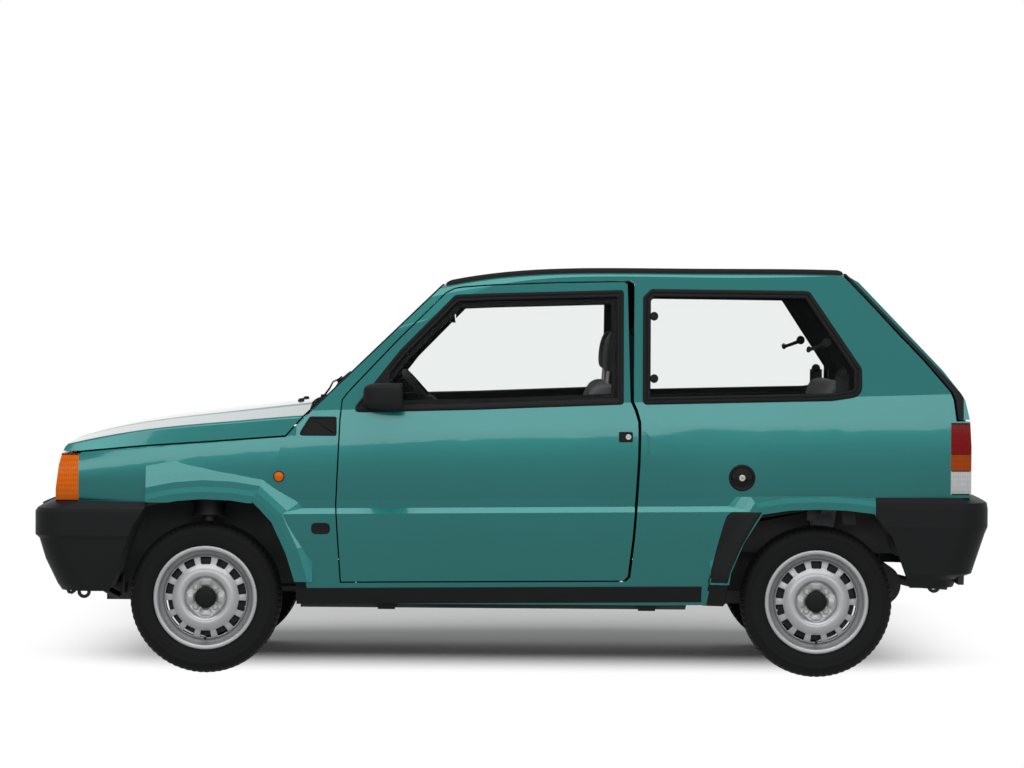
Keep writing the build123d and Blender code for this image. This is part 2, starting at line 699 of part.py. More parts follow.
liner_out = grown(REAR_ARCH, LINER, -FAR, -WELL_IN["rear"] + LINER)
with BuildPart() as rear_wheel_boxes:
    add(liner_out)
    add(block(700, 1460, -FAR, 0, BOOT_UNDER, 700), mode=Mode.INTERSECT)
    mirror(about=Plane.XZ)
    add(room, mode=Mode.INTERSECT)
    add([rear_wells, boot_floor.part], mode=Mode.SUBTRACT)
rear_wheel_boxes.part.label = "rear_wheel_boxes"
export_step(rear_wheel_boxes.part, "parts/rear_wheel_boxes.step")

SCUTTLE = [
    (-745, 850), (-745, 866), (-716, 872), (-716, 932), (-688, 938), (-672, 938), (-655, 905), (-655, 850),
]
with BuildPart() as bulkhead:
    add(side_cut([(-745, FLOOR_TOP), (-745, 860), (-720, 860), (-720, FLOOR_TOP)], -FAR, FAR))
    add(side_cut(SCUTTLE, -FAR, FAR))
    wide = HALF_WIDTH - WALL - 15
    add(room & block(-1000, -500, -wide, wide, 200, 1100), mode=Mode.INTERSECT)
    add(wells, mode=Mode.SUBTRACT)
    add(block(-800, -700, -bore, bore, 200, TUNNEL_TOP - 19), mode=Mode.SUBTRACT)
bulkhead.part.label = "bulkhead"
export_step(bulkhead.part, "parts/bulkhead.step")

LAMP_IN, LAMP_OUT = HALF_WIDTH - 324.0, HALF_WIDTH - 130.0  # headlamp's sides
with BuildPart() as front_indicators:
    add(nose_solid)
    add(nose_hollow, mode=Mode.SUBTRACT)
    add(block(-1700, -1529, -FAR, -LAMP_OUT, 606, 774), mode=Mode.INTERSECT)
    mirror(about=Plane.XZ)
front_indicators.part.label = "front_indicators"
export_step(front_indicators.part, "parts/front_indicators.step")

strut_line = (Vector(*KINGPIN_TOP) - Vector(*KINGPIN_LOW)).normalized()


def on_strut(z, side=-1):
    """Point on the strut's axis at a height."""
    p = Vector(*KINGPIN_LOW) + strut_line * ((z - KINGPIN_LOW[2]) / strut_line.Z)
    return (p.X, side * p.Y, p.Z)


SPRING_R = 62.0
tower = rod(on_strut(600), on_strut(716), SPRING_R + 24)
tower_bore = rod(on_strut(500), on_strut(706), SPRING_R + 14)
INNER = WELL_IN["front"] - 2.0  # outside of the engine bay's side walls
WALL_T = 14.0  # engine bay's side walls
liner_out = grown(FRONT_ARCH, LINER, -FAR, -WELL_IN["front"] + LINER)
with BuildPart() as left_inner_wing:
    add(liner_out)
    add(block(-1470, -745, -FAR, 0, 300, 760), mode=Mode.INTERSECT)
    add(block(-1545, -745, -INNER, -INNER + WALL_T, 300, 785))
    add(side_cut([(-1530, 745), (-800, 800), (-800, 780), (-1530, 725)], -FAR, -INNER))
    add(tower)
    add(side_thin, mode=Mode.INTERSECT)
    add([front_well - tower, left_body_side.part, front_flare], mode=Mode.SUBTRACT)
    add([front_indicators.part, front_bumper.part, tower_bore], mode=Mode.SUBTRACT)
left_inner_wing.part.label = "left_inner_wing"
export_step(left_inner_wing.part, "parts/left_inner_wing.step")

with BuildPart() as right_inner_wing:
    add(left_inner_wing.part)
    mirror(about=Plane.XZ, mode=Mode.REPLACE)
right_inner_wing.part.label = "right_inner_wing"
export_step(right_inner_wing.part, "parts/right_inner_wing.step")

with BuildPart() as front_panel:
    add(block(-1560, -1545, -FAR, 0, 300, 775))
    add(block(drawn(104 - BUMPER_X), -1560, -HALF_WIDTH + 182, -HALF_WIDTH + 242, 420, 500))
    add(side_thin, mode=Mode.INTERSECT)
    add([front_well, front_indicators.part, front_bumper.part], mode=Mode.SUBTRACT)
    add(block(-1600, -1500, -310, 10, 350, 700), mode=Mode.SUBTRACT)
    mirror(about=Plane.XZ)
    add(tow_eye(-1552, -300, 258, 306))
front_panel.part.label = "front_panel"
export_step(front_panel.part, "parts/front_panel.step")

RAIL_WIDE = 46.0
with BuildPart() as front_subframe:
    for side in (-1, 1):
        inside = INNER - WALL_T
        add(block(-1545, -745, side * inside, side * (inside - RAIL_WIDE), 300, 370))
        add(block(-1181, -1139, side * (inside - RAIL_WIDE + 2), side * (inside - RAIL_WIDE + 26), 200, 300))
    add(block(-1181, -1035, -inside + RAIL_WIDE, inside - RAIL_WIDE, 200, 230))
front_subframe.part.label = "front_subframe"
export_step(front_subframe.part, "parts/front_subframe.step")

arch_trim_line = [
    (775, 590), (880, 580), (774, 372), (754, 250), (677, 250), (693, 335), (725, 465), (749, 550),
]
with BuildPart() as arch_trims:
    add(side_skin(-12.0) - side_skin(0.0))
    add(side_cut(arch_trim_line, -FAR, 0), mode=Mode.INTERSECT)
    add(rear_flare, mode=Mode.SUBTRACT)
    mirror(about=Plane.XZ)
arch_trims.part.label = "arch_trims"
export_step(arch_trims.part, "parts/arch_trims.step")

# ---- front face ----
GRILLE_SLOTS, SLOT_PITCH, SLOT_TALL = 7, 19.0, 11.0
front_skin = plan_0 - plan_solid(NOSE_X + 30, TAIL_X, FAR)
with BuildPart() as grille:
    add(front_skin & nose_solid)
    add(block(-1700, -1500, -LAMP_OUT, LAMP_OUT, 606, 774), mode=Mode.INTERSECT)
    for k in range(GRILLE_SLOTS):
        low = 634.5 + SLOT_PITCH * k
        add(block(-1700, -1580, -LAMP_IN + 15, LAMP_IN - 15, low, low + SLOT_TALL), mode=Mode.SUBTRACT)
    for side in (-1, 1):
        inner, outer = side * (LAMP_IN - 0.5), side * (LAMP_OUT + 0.5)
        add(block(-1720, -1560, inner, outer, 638, 774), mode=Mode.SUBTRACT)
grille.part.label = "grille"
export_step(grille.part, "parts/grille.step")

with BuildPart() as headlamps:
    add(nose_solid)
    add(block(-1700, -1560, -LAMP_OUT, -LAMP_IN, 638, 774), mode=Mode.INTERSECT)
    mirror(about=Plane.XZ)
headlamps.part.label = "headlamps"
export_step(headlamps.part, "parts/headlamps.step")

# ---- cabin fittings ----
DASH = [
    (-720, 620), (-720, 850), (-650, 850), (-650, 896), (-600, 914), (-520, 912), (-486, 892), (-474, 850),
    (-500, 720), (-560, 640), (-620, 620),
]
DASH_HALF = HALF_WIDTH - WALL - 36.0
column_start = Vector(*WHEEL_CENTRE) + COLUMN_DIR * 52
with BuildPart() as dashboard:
    add(side_cut(DASH, -FAR, FAR))
    add(block(-1000, -400, -DASH_HALF, DASH_HALF, 500, 1000), mode=Mode.INTERSECT)
    add(rod(column_start, column_start + COLUMN_DIR * 600, 42), mode=Mode.SUBTRACT)
dashboard.part.label = "dashboard"
export_step(dashboard.part, "parts/dashboard.step")

with BuildPart() as steering_column:
    add(rod(column_start, column_start + COLUMN_DIR * 600, 24))
    add(block(-1000, -720, -500, -200, 300, 900), mode=Mode.SUBTRACT)
steering_column.part.label = "steering_column"
export_step(steering_column.part, "parts/steering_column.step")

WHEEL_R = 185.0
wheel_plane = Plane(origin=WHEEL_CENTRE, x_dir=(0, 1, 0), z_dir=COLUMN_DIR * -1)
with BuildPart() as steering_wheel:
    with BuildSketch(Plane(origin=WHEEL_CENTRE, x_dir=(0, 1, 0), z_dir=COLUMN_DIR.cross(Vector(0, 1, 0)))):
        with Locations((WHEEL_R - 13, 0)):
            Circle(13)
    revolve(axis=Axis(WHEEL_CENTRE, COLUMN_DIR), revolution_arc=360)
    with BuildSketch(wheel_plane.offset(-24)):
        Circle(52)
    extrude(amount=34)
    with BuildSketch(wheel_plane.offset(-14)):
        for angle in (-28, 208):
            with Locations(Location((95 * cos(radians(angle)), 95 * sin(radians(angle)), 0), (0, 0, angle))):
                Rectangle(160, 34)
    extrude(amount=12)
    add(rod(Vector(*WHEEL_CENTRE) + COLUMN_DIR * 20, column_start - COLUMN_DIR * RUN, 20))
steering_wheel.part.label = "steering_wheel"
export_step(steering_wheel.part, "parts/steering_wheel.step")

SEAT_Y, SEAT_W, HEADREST_W = 352.0, 470.0, 240.0
SEAT_SIDES = (-SEAT_Y - SEAT_W / 2, -SEAT_Y + SEAT_W / 2)
SEAT_BASE = [(-190, 420), (-215, 500), (-180, 528), (160, 490), (250, 470), (240, 370), (-150, 360)]
SEAT_BACK = [
    (160, 470), (190, 700), (290, 1036), (312, 1050), (362, 1050), (380, 1030), (330, 760), (262, 430),
]
HEADREST = [(318, 1040), (336, 1200), (350, 1222), (380, 1222), (388, 1200), (362, 1040)]
with BuildPart() as front_seats:
    add(side_cut(SEAT_BASE, *SEAT_SIDES))
    add(side_cut(SEAT_BACK, *SEAT_SIDES))
    add(side_cut(HEADREST, -SEAT_Y - HEADREST_W / 2, -SEAT_Y + HEADREST_W / 2))
    add(block(-120, 180, SEAT_SIDES[0] + 45, SEAT_SIDES[1] - 45, FLOOR_TOP, 380))
    mirror(about=Plane.XZ)
front_seats.part.label = "front_seats"
export_step(front_seats.part, "parts/front_seats.step")

BENCH_HALF = WELL_IN["rear"] - 23.0  # rear cushion between the wheel boxes
BENCH = [(646, BOOT_TOP), (600, 470), (606, 560), (650, 576), (1060, 540), (1066, BOOT_TOP)]
BENCH_BACK = [(1060, BOOT_TOP), (1130, 1040), (1150, 1064), (1196, 1064), (1210, 1040), (1150, BOOT_TOP)]
with BuildPart() as rear_seat:
    add(side_cut(BENCH, -BENCH_HALF, BENCH_HALF))
    back = side_cut(BENCH_BACK, -HALF_WIDTH + 152, HALF_WIDTH - 152)
    between = block(1000, 1300, -BENCH_HALF, BENCH_HALF, 300, 1100) + block(1000, 1300, -FAR, FAR, 614, 1100)
    add(back & between)
    add(room, mode=Mode.INTERSECT)
rear_seat.part.label = "rear_seat"
export_step(rear_seat.part, "parts/rear_seat.step")

# ---- running gear ----
ENGINE_HALF = 290.0
with BuildPart() as engine:
    add(block(-1470, -1010, -ENGINE_HALF, ENGINE_HALF, 230, 700))
engine.part.label = "engine"
export_step(engine.part, "parts/engine.step")

HUB_IN, HUB_OUT = TRACK_HALF - 108.0, TRACK_HALF - 32.0
SHIELD = HUB_OUT - 28.0  # inner face of the brake shield


def upright(side):
    """Knuckle, shield, strut and spring seat of one front wheel."""
    with BuildPart() as p:
        add(rod((-AXLE_X, side * HUB_IN, TYRE_R), (-AXLE_X, side * HUB_OUT, TYRE_R), 44))
        add(rod((-AXLE_X, side * SHIELD, TYRE_R), (-AXLE_X, side * (SHIELD + 6), TYRE_R), 118))
        add(rod((-AXLE_X, side * SHIELD, TYRE_R), on_strut(KINGPIN_LOW[2], side), 20))
        add(rod(on_strut(TYRE_R + 20, side), on_strut(560, side), 25))
        add(rod(on_strut(545, side), on_strut(556, side), SPRING_R))
        add(rod(on_strut(556, side), on_strut(688, side), SPRING_R - 6))
        add(rod(on_strut(688, side), on_strut(698, side), SPRING_R))
        add(rod((-AXLE_X, side * (SHIELD - 12), TYRE_R - 10), (-955, side * (SHIELD - 36), TYRE_R - 16), 13))
    return p.part


with BuildPart() as left_upright:
    add(upright(-1))
left_upright.part.label = "left_upright"
export_step(left_upright.part, "parts/left_upright.step")

with BuildPart() as right_upright:
    add(upright(1))
right_upright.part.label = "right_upright"
export_step(right_upright.part, "parts/right_upright.step")

ARM_IN = inside - RAIL_WIDE  # inner pivots of the lower arms
with BuildPart() as lower_arms:
    for side in (-1, 1):
        ball = KINGPIN_LOW[2] + 7
        add(rod((-AXLE_X, side * ARM_IN, 212), (-AXLE_X, side * (HUB_IN + 28), ball), 15))
        add(rod((-1000, side * (ARM_IN + 32), 310), (-1070, side * (HUB_IN + 6), ball + 6), 12))
    add([front_subframe.part, left_inner_wing.part, right_inner_wing.part], mode=Mode.SUBTRACT)
lower_arms.part.label = "lower_arms"
export_step(lower_arms.part, "parts/lower_arms.step")

with BuildPart() as driveshafts:
    for side in (-1, 1):
        add(rod((-AXLE_X, side * ENGINE_HALF, 285), (-AXLE_X, side * (HUB_IN - 34), 272), 14))
        add(rod((-AXLE_X, side * (ENGINE_HALF - 10), 285), (-AXLE_X, side * (ARM_IN - RUN), 282), 40))
    add(engine.part, mode=Mode.SUBTRACT)
driveshafts.part.label = "driveshafts"
export_step(driveshafts.part, "parts/driveshafts.step")

RACK_HALF = INNER - WALL_T - 2.0
with BuildPart() as steering_rack:
    add(rod((-900, -RACK_HALF, 392), (-900, RACK_HALF, 392), 22))
steering_rack.part.label = "steering_rack"
export_step(steering_rack.part, "parts/steering_rack.step")

ARM_Y = WELL_IN["rear"] - 48.0  # rear trailing arms
ARM_HALF, DRUM_R = 18.0, 108.0
with BuildPart() as rear_axle:
    add(rod((AXLE_X, -HUB_OUT, TYRE_R), (AXLE_X, HUB_OUT, TYRE_R), 28))
    for side in (-1, 1):
        near, far = side * (ARM_Y - ARM_HALF), side * (ARM_Y + ARM_HALF)
        add(rod((AXLE_X, side * (HUB_OUT - 40), TYRE_R), (AXLE_X, side * HUB_OUT, TYRE_R), DRUM_R))
        add(block(730, 1085, near, far, TYRE_R - 23, TYRE_R + 22))
        add(block(730, 770, near - side * 6, far + side * 6, TYRE_R + 22, BOOT_UNDER))
rear_axle.part.label = "rear_axle"
export_step(rear_axle.part, "parts/rear_axle.step")

with BuildPart() as rear_springs:
    for side in (-1, 1):
        near, far = side * (ARM_Y - ARM_HALF), side * (ARM_Y + ARM_HALF)
        add(rod((1060, side * (ARM_Y - 50), TYRE_R + 22), (1060, side * (ARM_Y - 50), BOOT_UNDER), 46))
        add(rod((1140, side * ARM_Y, TYRE_R - 8), (1140, side * ARM_Y, BOOT_UNDER), 22))
        add(block(1050, 1160, near, far, TYRE_R - 28, TYRE_R - 6))
        add(block(1040, 1080, side * (ARM_Y - 90), side * ARM_Y, TYRE_R + 8, TYRE_R + 23))
    add(rear_axle.part, mode=Mode.SUBTRACT)
rear_springs.part.label = "rear_springs"
export_step(rear_springs.part, "parts/rear_springs.step")

with BuildPart() as fuel_tank:
    with Locations((830, -70, 345)):
        Box(220, 560, 170)
    fillet(fuel_tank.edges().filter_by(Axis.Z), 40)
fuel_tank.part.label = "fuel_tank"
export_step(fuel_tank.part, "parts/fuel_tank.step")

low_pipe = TYRE_R - 62.0  # under the rear axle
pipe_route = [
    (-1010, 0, 262), (380, 0, 262), (480, 0, low_pipe), (660, 290, low_pipe), (1180, 290, low_pipe),
    (1270, 290, 290),
]
with BuildPart() as exhaust:
    add(bent_pipe(pipe_route, 20, 40))
    add(rod((1345, -240, 300), (1345, 330, 300), 76))
    add(bent_pipe([(1400, 300, 300), (1520, 300, 270), (1650, 300, 262)], 18, 60))
    for side in (-150, 240):
        add(rod((1345, side, 340), (1345, side, BOOT_UNDER), 8))
exhaust.part.label = "exhaust"
export_step(exhaust.part, "parts/exhaust.step")

# ---- wipers ----
def on_screen(y, z, off):
    """Point standing off the windscreen's outer face."""
    return (screen_x(z, 14.0 - GLASS - off), y, z)


with BuildPart() as windscreen_wiper:
    add(rod((-702, 70, 936), (-702, 70, 968), 10))
    add(rod((-702, 70, 962), on_screen(-250, 1020, 24), 5))
    add(rod(on_screen(-10, 978, 16), on_screen(-490, 1062, 16), 6))
    add(rod(on_screen(-250, 1020, 14), on_screen(-250, 1020, 26), 8))
    add(bulkhead.part, mode=Mode.SUBTRACT)
windscreen_wiper.part.label = "windscreen_wiper"
export_step(windscreen_wiper.part, "parts/windscreen_wiper.step")

with BuildPart() as rear_wiper:
    add(rod((1480, 60, 1090), (1522, 60, 1130), 12))
    add(rod((1516, 60, 1125), (1478, -190, 1172), 5))
    add(rod((1482, 30, 1170), (1462, -330, 1184), 6))
    add(tailgate.part, mode=Mode.SUBTRACT)
rear_wiper.part.label = "rear_wiper"
export_step(rear_wiper.part, "parts/rear_wiper.step")


# ---- road wheels, made about the Y axis with the outside toward -Y ----
def wheel_profile(points):
    """Closed ring turned about the Y axis from (radius, y) points."""
    with BuildPart() as p:
        with BuildSketch(Plane.XY):
            with BuildLine():
                Polyline(*points, close=True)
            make_face()
        revolve(axis=Axis.Y)
    return p.part


half_rim = TYRE_WIDTH / 2 - 9
rim_outer = [
    (RIM_R, -half_rim), (RIM_R, -half_rim + 6), (RIM_R - 14, -half_rim + 12), (RIM_R - 16, -30),
    (RIM_R - 34, -16), (RIM_R - 34, 22), (RIM_R - 16, 34), (RIM_R - 14, half_rim - 12),
    (RIM_R, half_rim - 6), (RIM_R, half_rim),
]
rim_inner = [
    (RIM_R - 5, half_rim), (RIM_R - 14 - RIM_WALL, half_rim - 14), (RIM_R - 34 - RIM_WALL, 24),
    (RIM_R - 34 - RIM_WALL, -14), (RIM_R - 16 - RIM_WALL, -32), (RIM_R - 14 - RIM_WALL, -half_rim + 16),
    (RIM_R - 5, -half_rim),
]
barrel = wheel_profile(rim_outer + rim_inner)
disc = wheel_profile([
    (0, -38), (72, -38), (84, -46), (104, -46), (146, -26), (RIM_R - 34, -14), (RIM_R - 36, -8), (142, -20),
    (104, -40), (86, -40), (76, -32), (0, -32),
])
stub = rod((0, -33, 0), (0, -TRACK_HALF + HUB_OUT + RUN, 0), 34)
with BuildPart() as hole_set:
    with BuildSketch(Plane.XZ):
        with PolarLocations(HOLE_RING_R, RIM_HOLES):
            Polygon((-13, -8), (13, -11), (13, 11), (-13, 8), align=None)
    extrude(amount=80)
rim_shape = barrel + disc + stub - hole_set.part
sidewall = TYRE_R - RIM_R
half_tyre = [
    (RIM_R - 13.5, half_rim - 13), (RIM_R + 4, half_rim + 2), (RIM_R + 0.4 * sidewall, TYRE_WIDTH / 2),
    (TYRE_R - 0.28 * sidewall, TYRE_WIDTH / 2 - 3), (TYRE_R - 0.08 * sidewall, TYRE_WIDTH / 2 - 12),
    (TYRE_R, TYRE_WIDTH / 2 - 26),
]
tyre_shape = wheel_profile([(r, -y) for r, y in half_tyre] + half_tyre[::-1]) - barrel

for name, x, side in (
    ("front_left", -AXLE_X, -1), ("front_right", -AXLE_X, 1),
    ("rear_left", AXLE_X, -1), ("rear_right", AXLE_X, 1),
):
    turn = Rot(0, 0, 0 if side < 0 else 180)
    for kind, shape in (("rim", rim_shape), ("tyre", tyre_shape)):
        with BuildPart() as wheel_part:
            add(Pos(x, side * TRACK_HALF, TYRE_R) * turn * shape)
        wheel_part.part.label = f"{kind}_{name}"
        export_step(wheel_part.part, f"parts/{kind}_{name}.step")
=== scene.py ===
"""City car: the finish, trim, glass, wheels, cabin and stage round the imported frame."""

import json
from math import cos, hypot, pi, radians, sin

import bmesh
import bpy
from bpy.props import FloatProperty, FloatVectorProperty, IntProperty
from bpy.types import Operator, Panel, PropertyGroup
from mathutils import Matrix, Vector
from mathutils.bvhtree import BVHTree


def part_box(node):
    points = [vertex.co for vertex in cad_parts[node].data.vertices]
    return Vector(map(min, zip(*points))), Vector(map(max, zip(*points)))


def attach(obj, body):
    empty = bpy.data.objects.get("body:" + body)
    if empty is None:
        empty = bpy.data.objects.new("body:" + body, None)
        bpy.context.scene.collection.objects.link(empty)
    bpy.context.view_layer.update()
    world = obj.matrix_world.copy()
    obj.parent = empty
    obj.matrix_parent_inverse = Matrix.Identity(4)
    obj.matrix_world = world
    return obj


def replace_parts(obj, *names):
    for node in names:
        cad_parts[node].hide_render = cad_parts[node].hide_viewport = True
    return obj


bl_info = {
    "name": "City car",
    "version": (1, 0, 0),
    "blender": (4, 5, 0),
    "location": "View3D > Sidebar > City car",
    "description": "Builds the finish and trim of a small three-door hatchback round its packed frame",
    "category": "Object",
}

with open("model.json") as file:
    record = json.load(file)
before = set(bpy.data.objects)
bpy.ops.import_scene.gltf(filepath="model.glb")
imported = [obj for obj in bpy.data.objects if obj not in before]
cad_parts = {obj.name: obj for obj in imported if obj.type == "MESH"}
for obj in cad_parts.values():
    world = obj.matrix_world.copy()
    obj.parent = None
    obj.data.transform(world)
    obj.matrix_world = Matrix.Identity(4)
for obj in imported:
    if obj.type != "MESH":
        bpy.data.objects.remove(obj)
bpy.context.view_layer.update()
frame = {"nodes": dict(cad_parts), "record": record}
NODES = frame["nodes"]
MM = 0.001
RAKE, AXLE_X, TRACK_HALF, TYRE_R = 0.0122, 1080.0, 632.0, 268.0
SCREEN_LEAN = 1.027  # the windscreen's run for its rise
TAIL_RUN, TAIL_RISE = 0.693, 0.721  # direction of the tailgate's upper slope
RAY_FROM = 2600.0  # rays that look for a packed surface start this far out


# ---------------------------------------------------------------- shader writing
class Wire:
    """A socket in a node tree. Arithmetic on it adds Math nodes."""

    def __init__(self, tree, socket):
        self.tree, self.socket = tree, socket

    def _math(self, operation, *values):
        return self.tree.node("ShaderNodeMath", {"operation": operation}, *values)["Value"]

    def __add__(self, other):
        return self._math("ADD", self, other)

    def __sub__(self, other):
        return self._math("SUBTRACT", self, other)

    def __mul__(self, other):
        return self._math("MULTIPLY", self, other)

    def __truediv__(self, other):
        return self._math("DIVIDE", self, other)

    def __rsub__(self, other):
        return self._math("SUBTRACT", other, self)

    def __gt__(self, other):
        return self._math("GREATER_THAN", self, other)

    def __lt__(self, other):
        return self._math("LESS_THAN", self, other)

    def __abs__(self):
        return self._math("ABSOLUTE", self)

    def sine(self):
        return self._math("SINE", self)

    def clamp_low(self):
        return self._math("MAXIMUM", self, 0.0)

    def clamp(self):
        return self._math("MINIMUM", self._math("MAXIMUM", self, 0.0), 1.0)

    __radd__, __rmul__ = __add__, __mul__


class Made:
    """A node just added; its outputs are read by name."""

    def __init__(self, tree, node):
        self.tree, self.raw = tree, node

    def __getitem__(self, name):
        return Wire(self.tree, self.raw.outputs[name])


class Finish:
    """A material being written: node() adds a node, output() closes it."""

    def __init__(self, name):
        self.material = bpy.data.materials.new(name)
        self.material.use_nodes = True
        self.tree = self.material.node_tree
        self.tree.nodes.clear()

    def node(self, kind, settings=None, *ordered, **named):
        made = self.tree.nodes.new(kind)
        for key, value in (settings or {}).items():
            setattr(made, key, value)
        for key, value in list(enumerate(ordered)) + [(k.replace("_", " "), v) for k, v in named.items()]:
            socket = made.inputs[key]
            if isinstance(value, Wire):
                self.tree.links.new(value.socket, socket)
            elif socket.type == "RGBA" and len(value) == 3:
                socket.default_value = (*value, 1.0)
            else:
                socket.default_value = value
        return Made(self, made)

    def place(self, scale=1.0, stretch=(1.0, 1.0, 1.0)):
        """Object coordinates, scaled: one unit is a metre at scale 1."""
        coords = self.node("ShaderNodeTexCoord")["Object"]
        size = [scale * s for s in stretch]
        return self.node("ShaderNodeMapping", None, Vector=coords, Scale=size)["Vector"]

    def noise(self, scale, detail=2.0, roughness=0.5, stretch=(1.0, 1.0, 1.0)):
        return self.node("ShaderNodeTexNoise", None, Vector=self.place(1.0, stretch), Scale=scale,
                         Detail=detail, Roughness=roughness)["Fac"]

    def blend(self, factor, first, second):
        made = self.node("ShaderNodeMix", {"data_type": "RGBA"})
        for index, value in ((0, factor), (6, first), (7, second)):
            socket = made.raw.inputs[index]
            if isinstance(value, Wire):
                self.tree.links.new(value.socket, socket)
            else:
                socket.default_value = (*value, 1.0) if socket.type == "RGBA" else value
        return Wire(self, made.raw.outputs[2])

    def bump(self, height, strength, distance=0.001):
        made = self.node("ShaderNodeBump", None, Height=height, Strength=strength, Distance=distance)
        return made["Normal"]

    def surface(self, **values):
        return self.node("ShaderNodeBsdfPrincipled", None, **values)["BSDF"]

    def output(self, shader):
        self.node("ShaderNodeOutputMaterial", None, Surface=shader)
        return self.material


def grained(name, colour, lighter, roughness, grain_size, depth, spread=0.08):
    """Moulded plastic or rubber: a fine grain, with a little cloudiness in colour and gloss."""
    m = Finish(name)
    cloud = m.noise(7.0, 3.0)
    grain = m.noise(1.0 / grain_size, 2.0)
    return m.output(m.surface(
        Base_Color=m.blend(cloud, colour, lighter),
        Roughness=roughness + (cloud - 0.5) * spread + (grain - 0.5) * spread,
        Specular_IOR_Level=0.08, Normal=m.bump(grain, 0.5, depth),
    ))


def side_trimmed(at, facing):
    """Where a door or body side is trimmed inside: its inner half, and all that faces inward."""
    x, y, z = at["X"], at["Y"], at["Z"]
    rear = ((x - 0.95) / 0.65).clamp()
    edge = 0.690 - rear * rear * 0.032 - (0.40 - z).clamp() * 0.3
    reach = abs(y) + (z - 0.955).clamp() * 0.248
    return ((reach < edge) + (y * facing["Y"] < -0.04)).clamp()


def roof_trimmed(at, facing):
    """The roof's lining."""
    return facing["Z"] < -0.05


def tail_trimmed(at, facing):
    """The tailgate's inner half."""
    return (at["X"] * TAIL_RISE + at["Z"] * TAIL_RUN < 1.843) * (at["X"] < 1.594)


def lid_trimmed(at, facing):
    """The bonnet's underside, which takes a darker copy of the paint as painted shade."""
    return facing["Z"] < 0.02


def underseal_and_shade_area(x, y, z):
    """Near-black underseal and painted shade: near a wheel behind the arch's lip, and under the sills."""
    axle, hub = AXLE_X * MM, TYRE_R * MM
    round_wheel = (abs(abs(x) - axle) < 0.42) * (z < 0.62)
    near = ((abs(x) - axle) * (abs(x) - axle) + (z - hub) * (z - hub)) < 0.1310
    return (round_wheel * near * (abs(y) < 0.737) + (z < 0.252)).clamp()


def car_paint(name, colour, deep, lining, trimmed, lined_rough=0.7):
    """Metallic paint under clear lacquer, a dull lining where trimmed() says, and near-black in the arches
    and under the sills, partly underseal and partly painted shade.
    """
    m = Finish(name)
    flake = m.node("ShaderNodeTexVoronoi", None, Vector=m.place(), Scale=900.0)["Color"]
    flake_light = m.node("ShaderNodeSeparateColor", None, Color=flake)["Red"]
    cloud = m.noise(2.2, 3.0)
    coords = m.node("ShaderNodeTexCoord")
    at = m.node("ShaderNodeSeparateXYZ", None, Vector=coords["Object"])
    facing = m.node("ShaderNodeSeparateXYZ", None, Vector=coords["Normal"])
    inside = trimmed(at, facing)
    # painted shade: the arches and the underside turn near-black, partly underseal, partly the shade that
    # falls there
    underseal_and_shade = underseal_and_shade_area(at["X"], at["Y"], at["Z"])
    bare = 1.0 - (inside + underseal_and_shade).clamp()
    grain = m.noise(700.0, 2.0)
    paint = m.blend((flake_light * 0.35 + cloud * 0.65).clamp(), deep, colour)
    lining_shade = m.blend(grain, [c * 0.75 for c in lining], lining)
    # near-black underseal with painted shade in the arches and under the sills
    shade = m.blend(underseal_and_shade, m.blend(inside, paint, lining_shade), (0.004, 0.004, 0.004))
    return m.output(m.surface(
        Base_Color=shade, Metallic=bare * 0.55, Roughness=lined_rough - bare * (lined_rough - 0.27),
        Specular_IOR_Level=0.12, Coat_Weight=bare, Coat_Roughness=0.04, Coat_IOR=1.3,
        Normal=m.bump(m.noise(38.0, 1.0) * bare * 0.5 + grain * (1.0 - bare), 0.12, 0.0006),
    ))


def metal(name, colour, dark, roughness, metallic=1.0, scale=60.0, depth=0.0004):
    """Bare or painted metal with streaks of duller patches."""
    m = Finish(name)
    cloud = m.noise(scale * 0.2, 4.0)
    fine = m.noise(scale * 8.0, 2.0)
    return m.output(m.surface(
        Base_Color=m.blend(cloud, dark, colour), Metallic=metallic,
        Roughness=roughness + (cloud - 0.5) * 0.2, Normal=m.bump(fine, 0.35, depth),
    ))


def window_glass(name, tint):
    """Thin clear pane: mostly see-through, with a sharp sky reflection that grows at a slant."""
    m = Finish(name)
    slant = m.node("ShaderNodeLayerWeight", None, Blend=0.35)["Fresnel"]
    smear = m.noise(5.0, 2.0)
    through = m.node("ShaderNodeBsdfTransparent", None, Color=tint)["BSDF"]
    shine = m.surface(Base_Color=(0.02, 0.025, 0.025), Roughness=0.02 + smear * 0.02, IOR=1.5)
    mixed = m.node("ShaderNodeMixShader", None, (slant * 0.5 + 0.01).clamp(), through, shine)["Shader"]
    return m.output(mixed)


def lens_body(m, shade, ribs, fine):
    """Moulded lamp plastic whose colour carries painted highlights and shade, with a gloss skin."""
    return m.output(m.surface(
        Base_Color=shade, Roughness=0.2 + (fine - 0.5) * 0.06, Specular_IOR_Level=0.08,
        Coat_Weight=0.12, Coat_Roughness=0.03, Coat_IOR=1.25, Normal=m.bump(ribs, 0.35, 0.001),
    ))


def lamp_plastic(name, colour, pitch):
    """Coloured lens with upright prisms and a crossed pattern behind, their painted highlights and shade
    drawn as lighter and darker stripes in its colour.
    """
    m = Finish(name)
    at = m.node("ShaderNodeSeparateXYZ", None, Vector=m.place())
    rate = 2 * pi / pitch
    ribs = ((at["Y"] + at["X"]) * rate).sine()
    crossing = (at["Z"] * (rate / 3)).sine()
    fine = m.noise(60.0)
    # painted highlight and shade: the prisms and the crossed pattern lighten and darken the lens colour
    light = (ribs * 0.18 + crossing * 0.12 + 0.45 + fine * 0.3).clamp()
    return lens_body(m, m.blend(light, [c * 0.42 for c in colour], colour), ribs, fine)


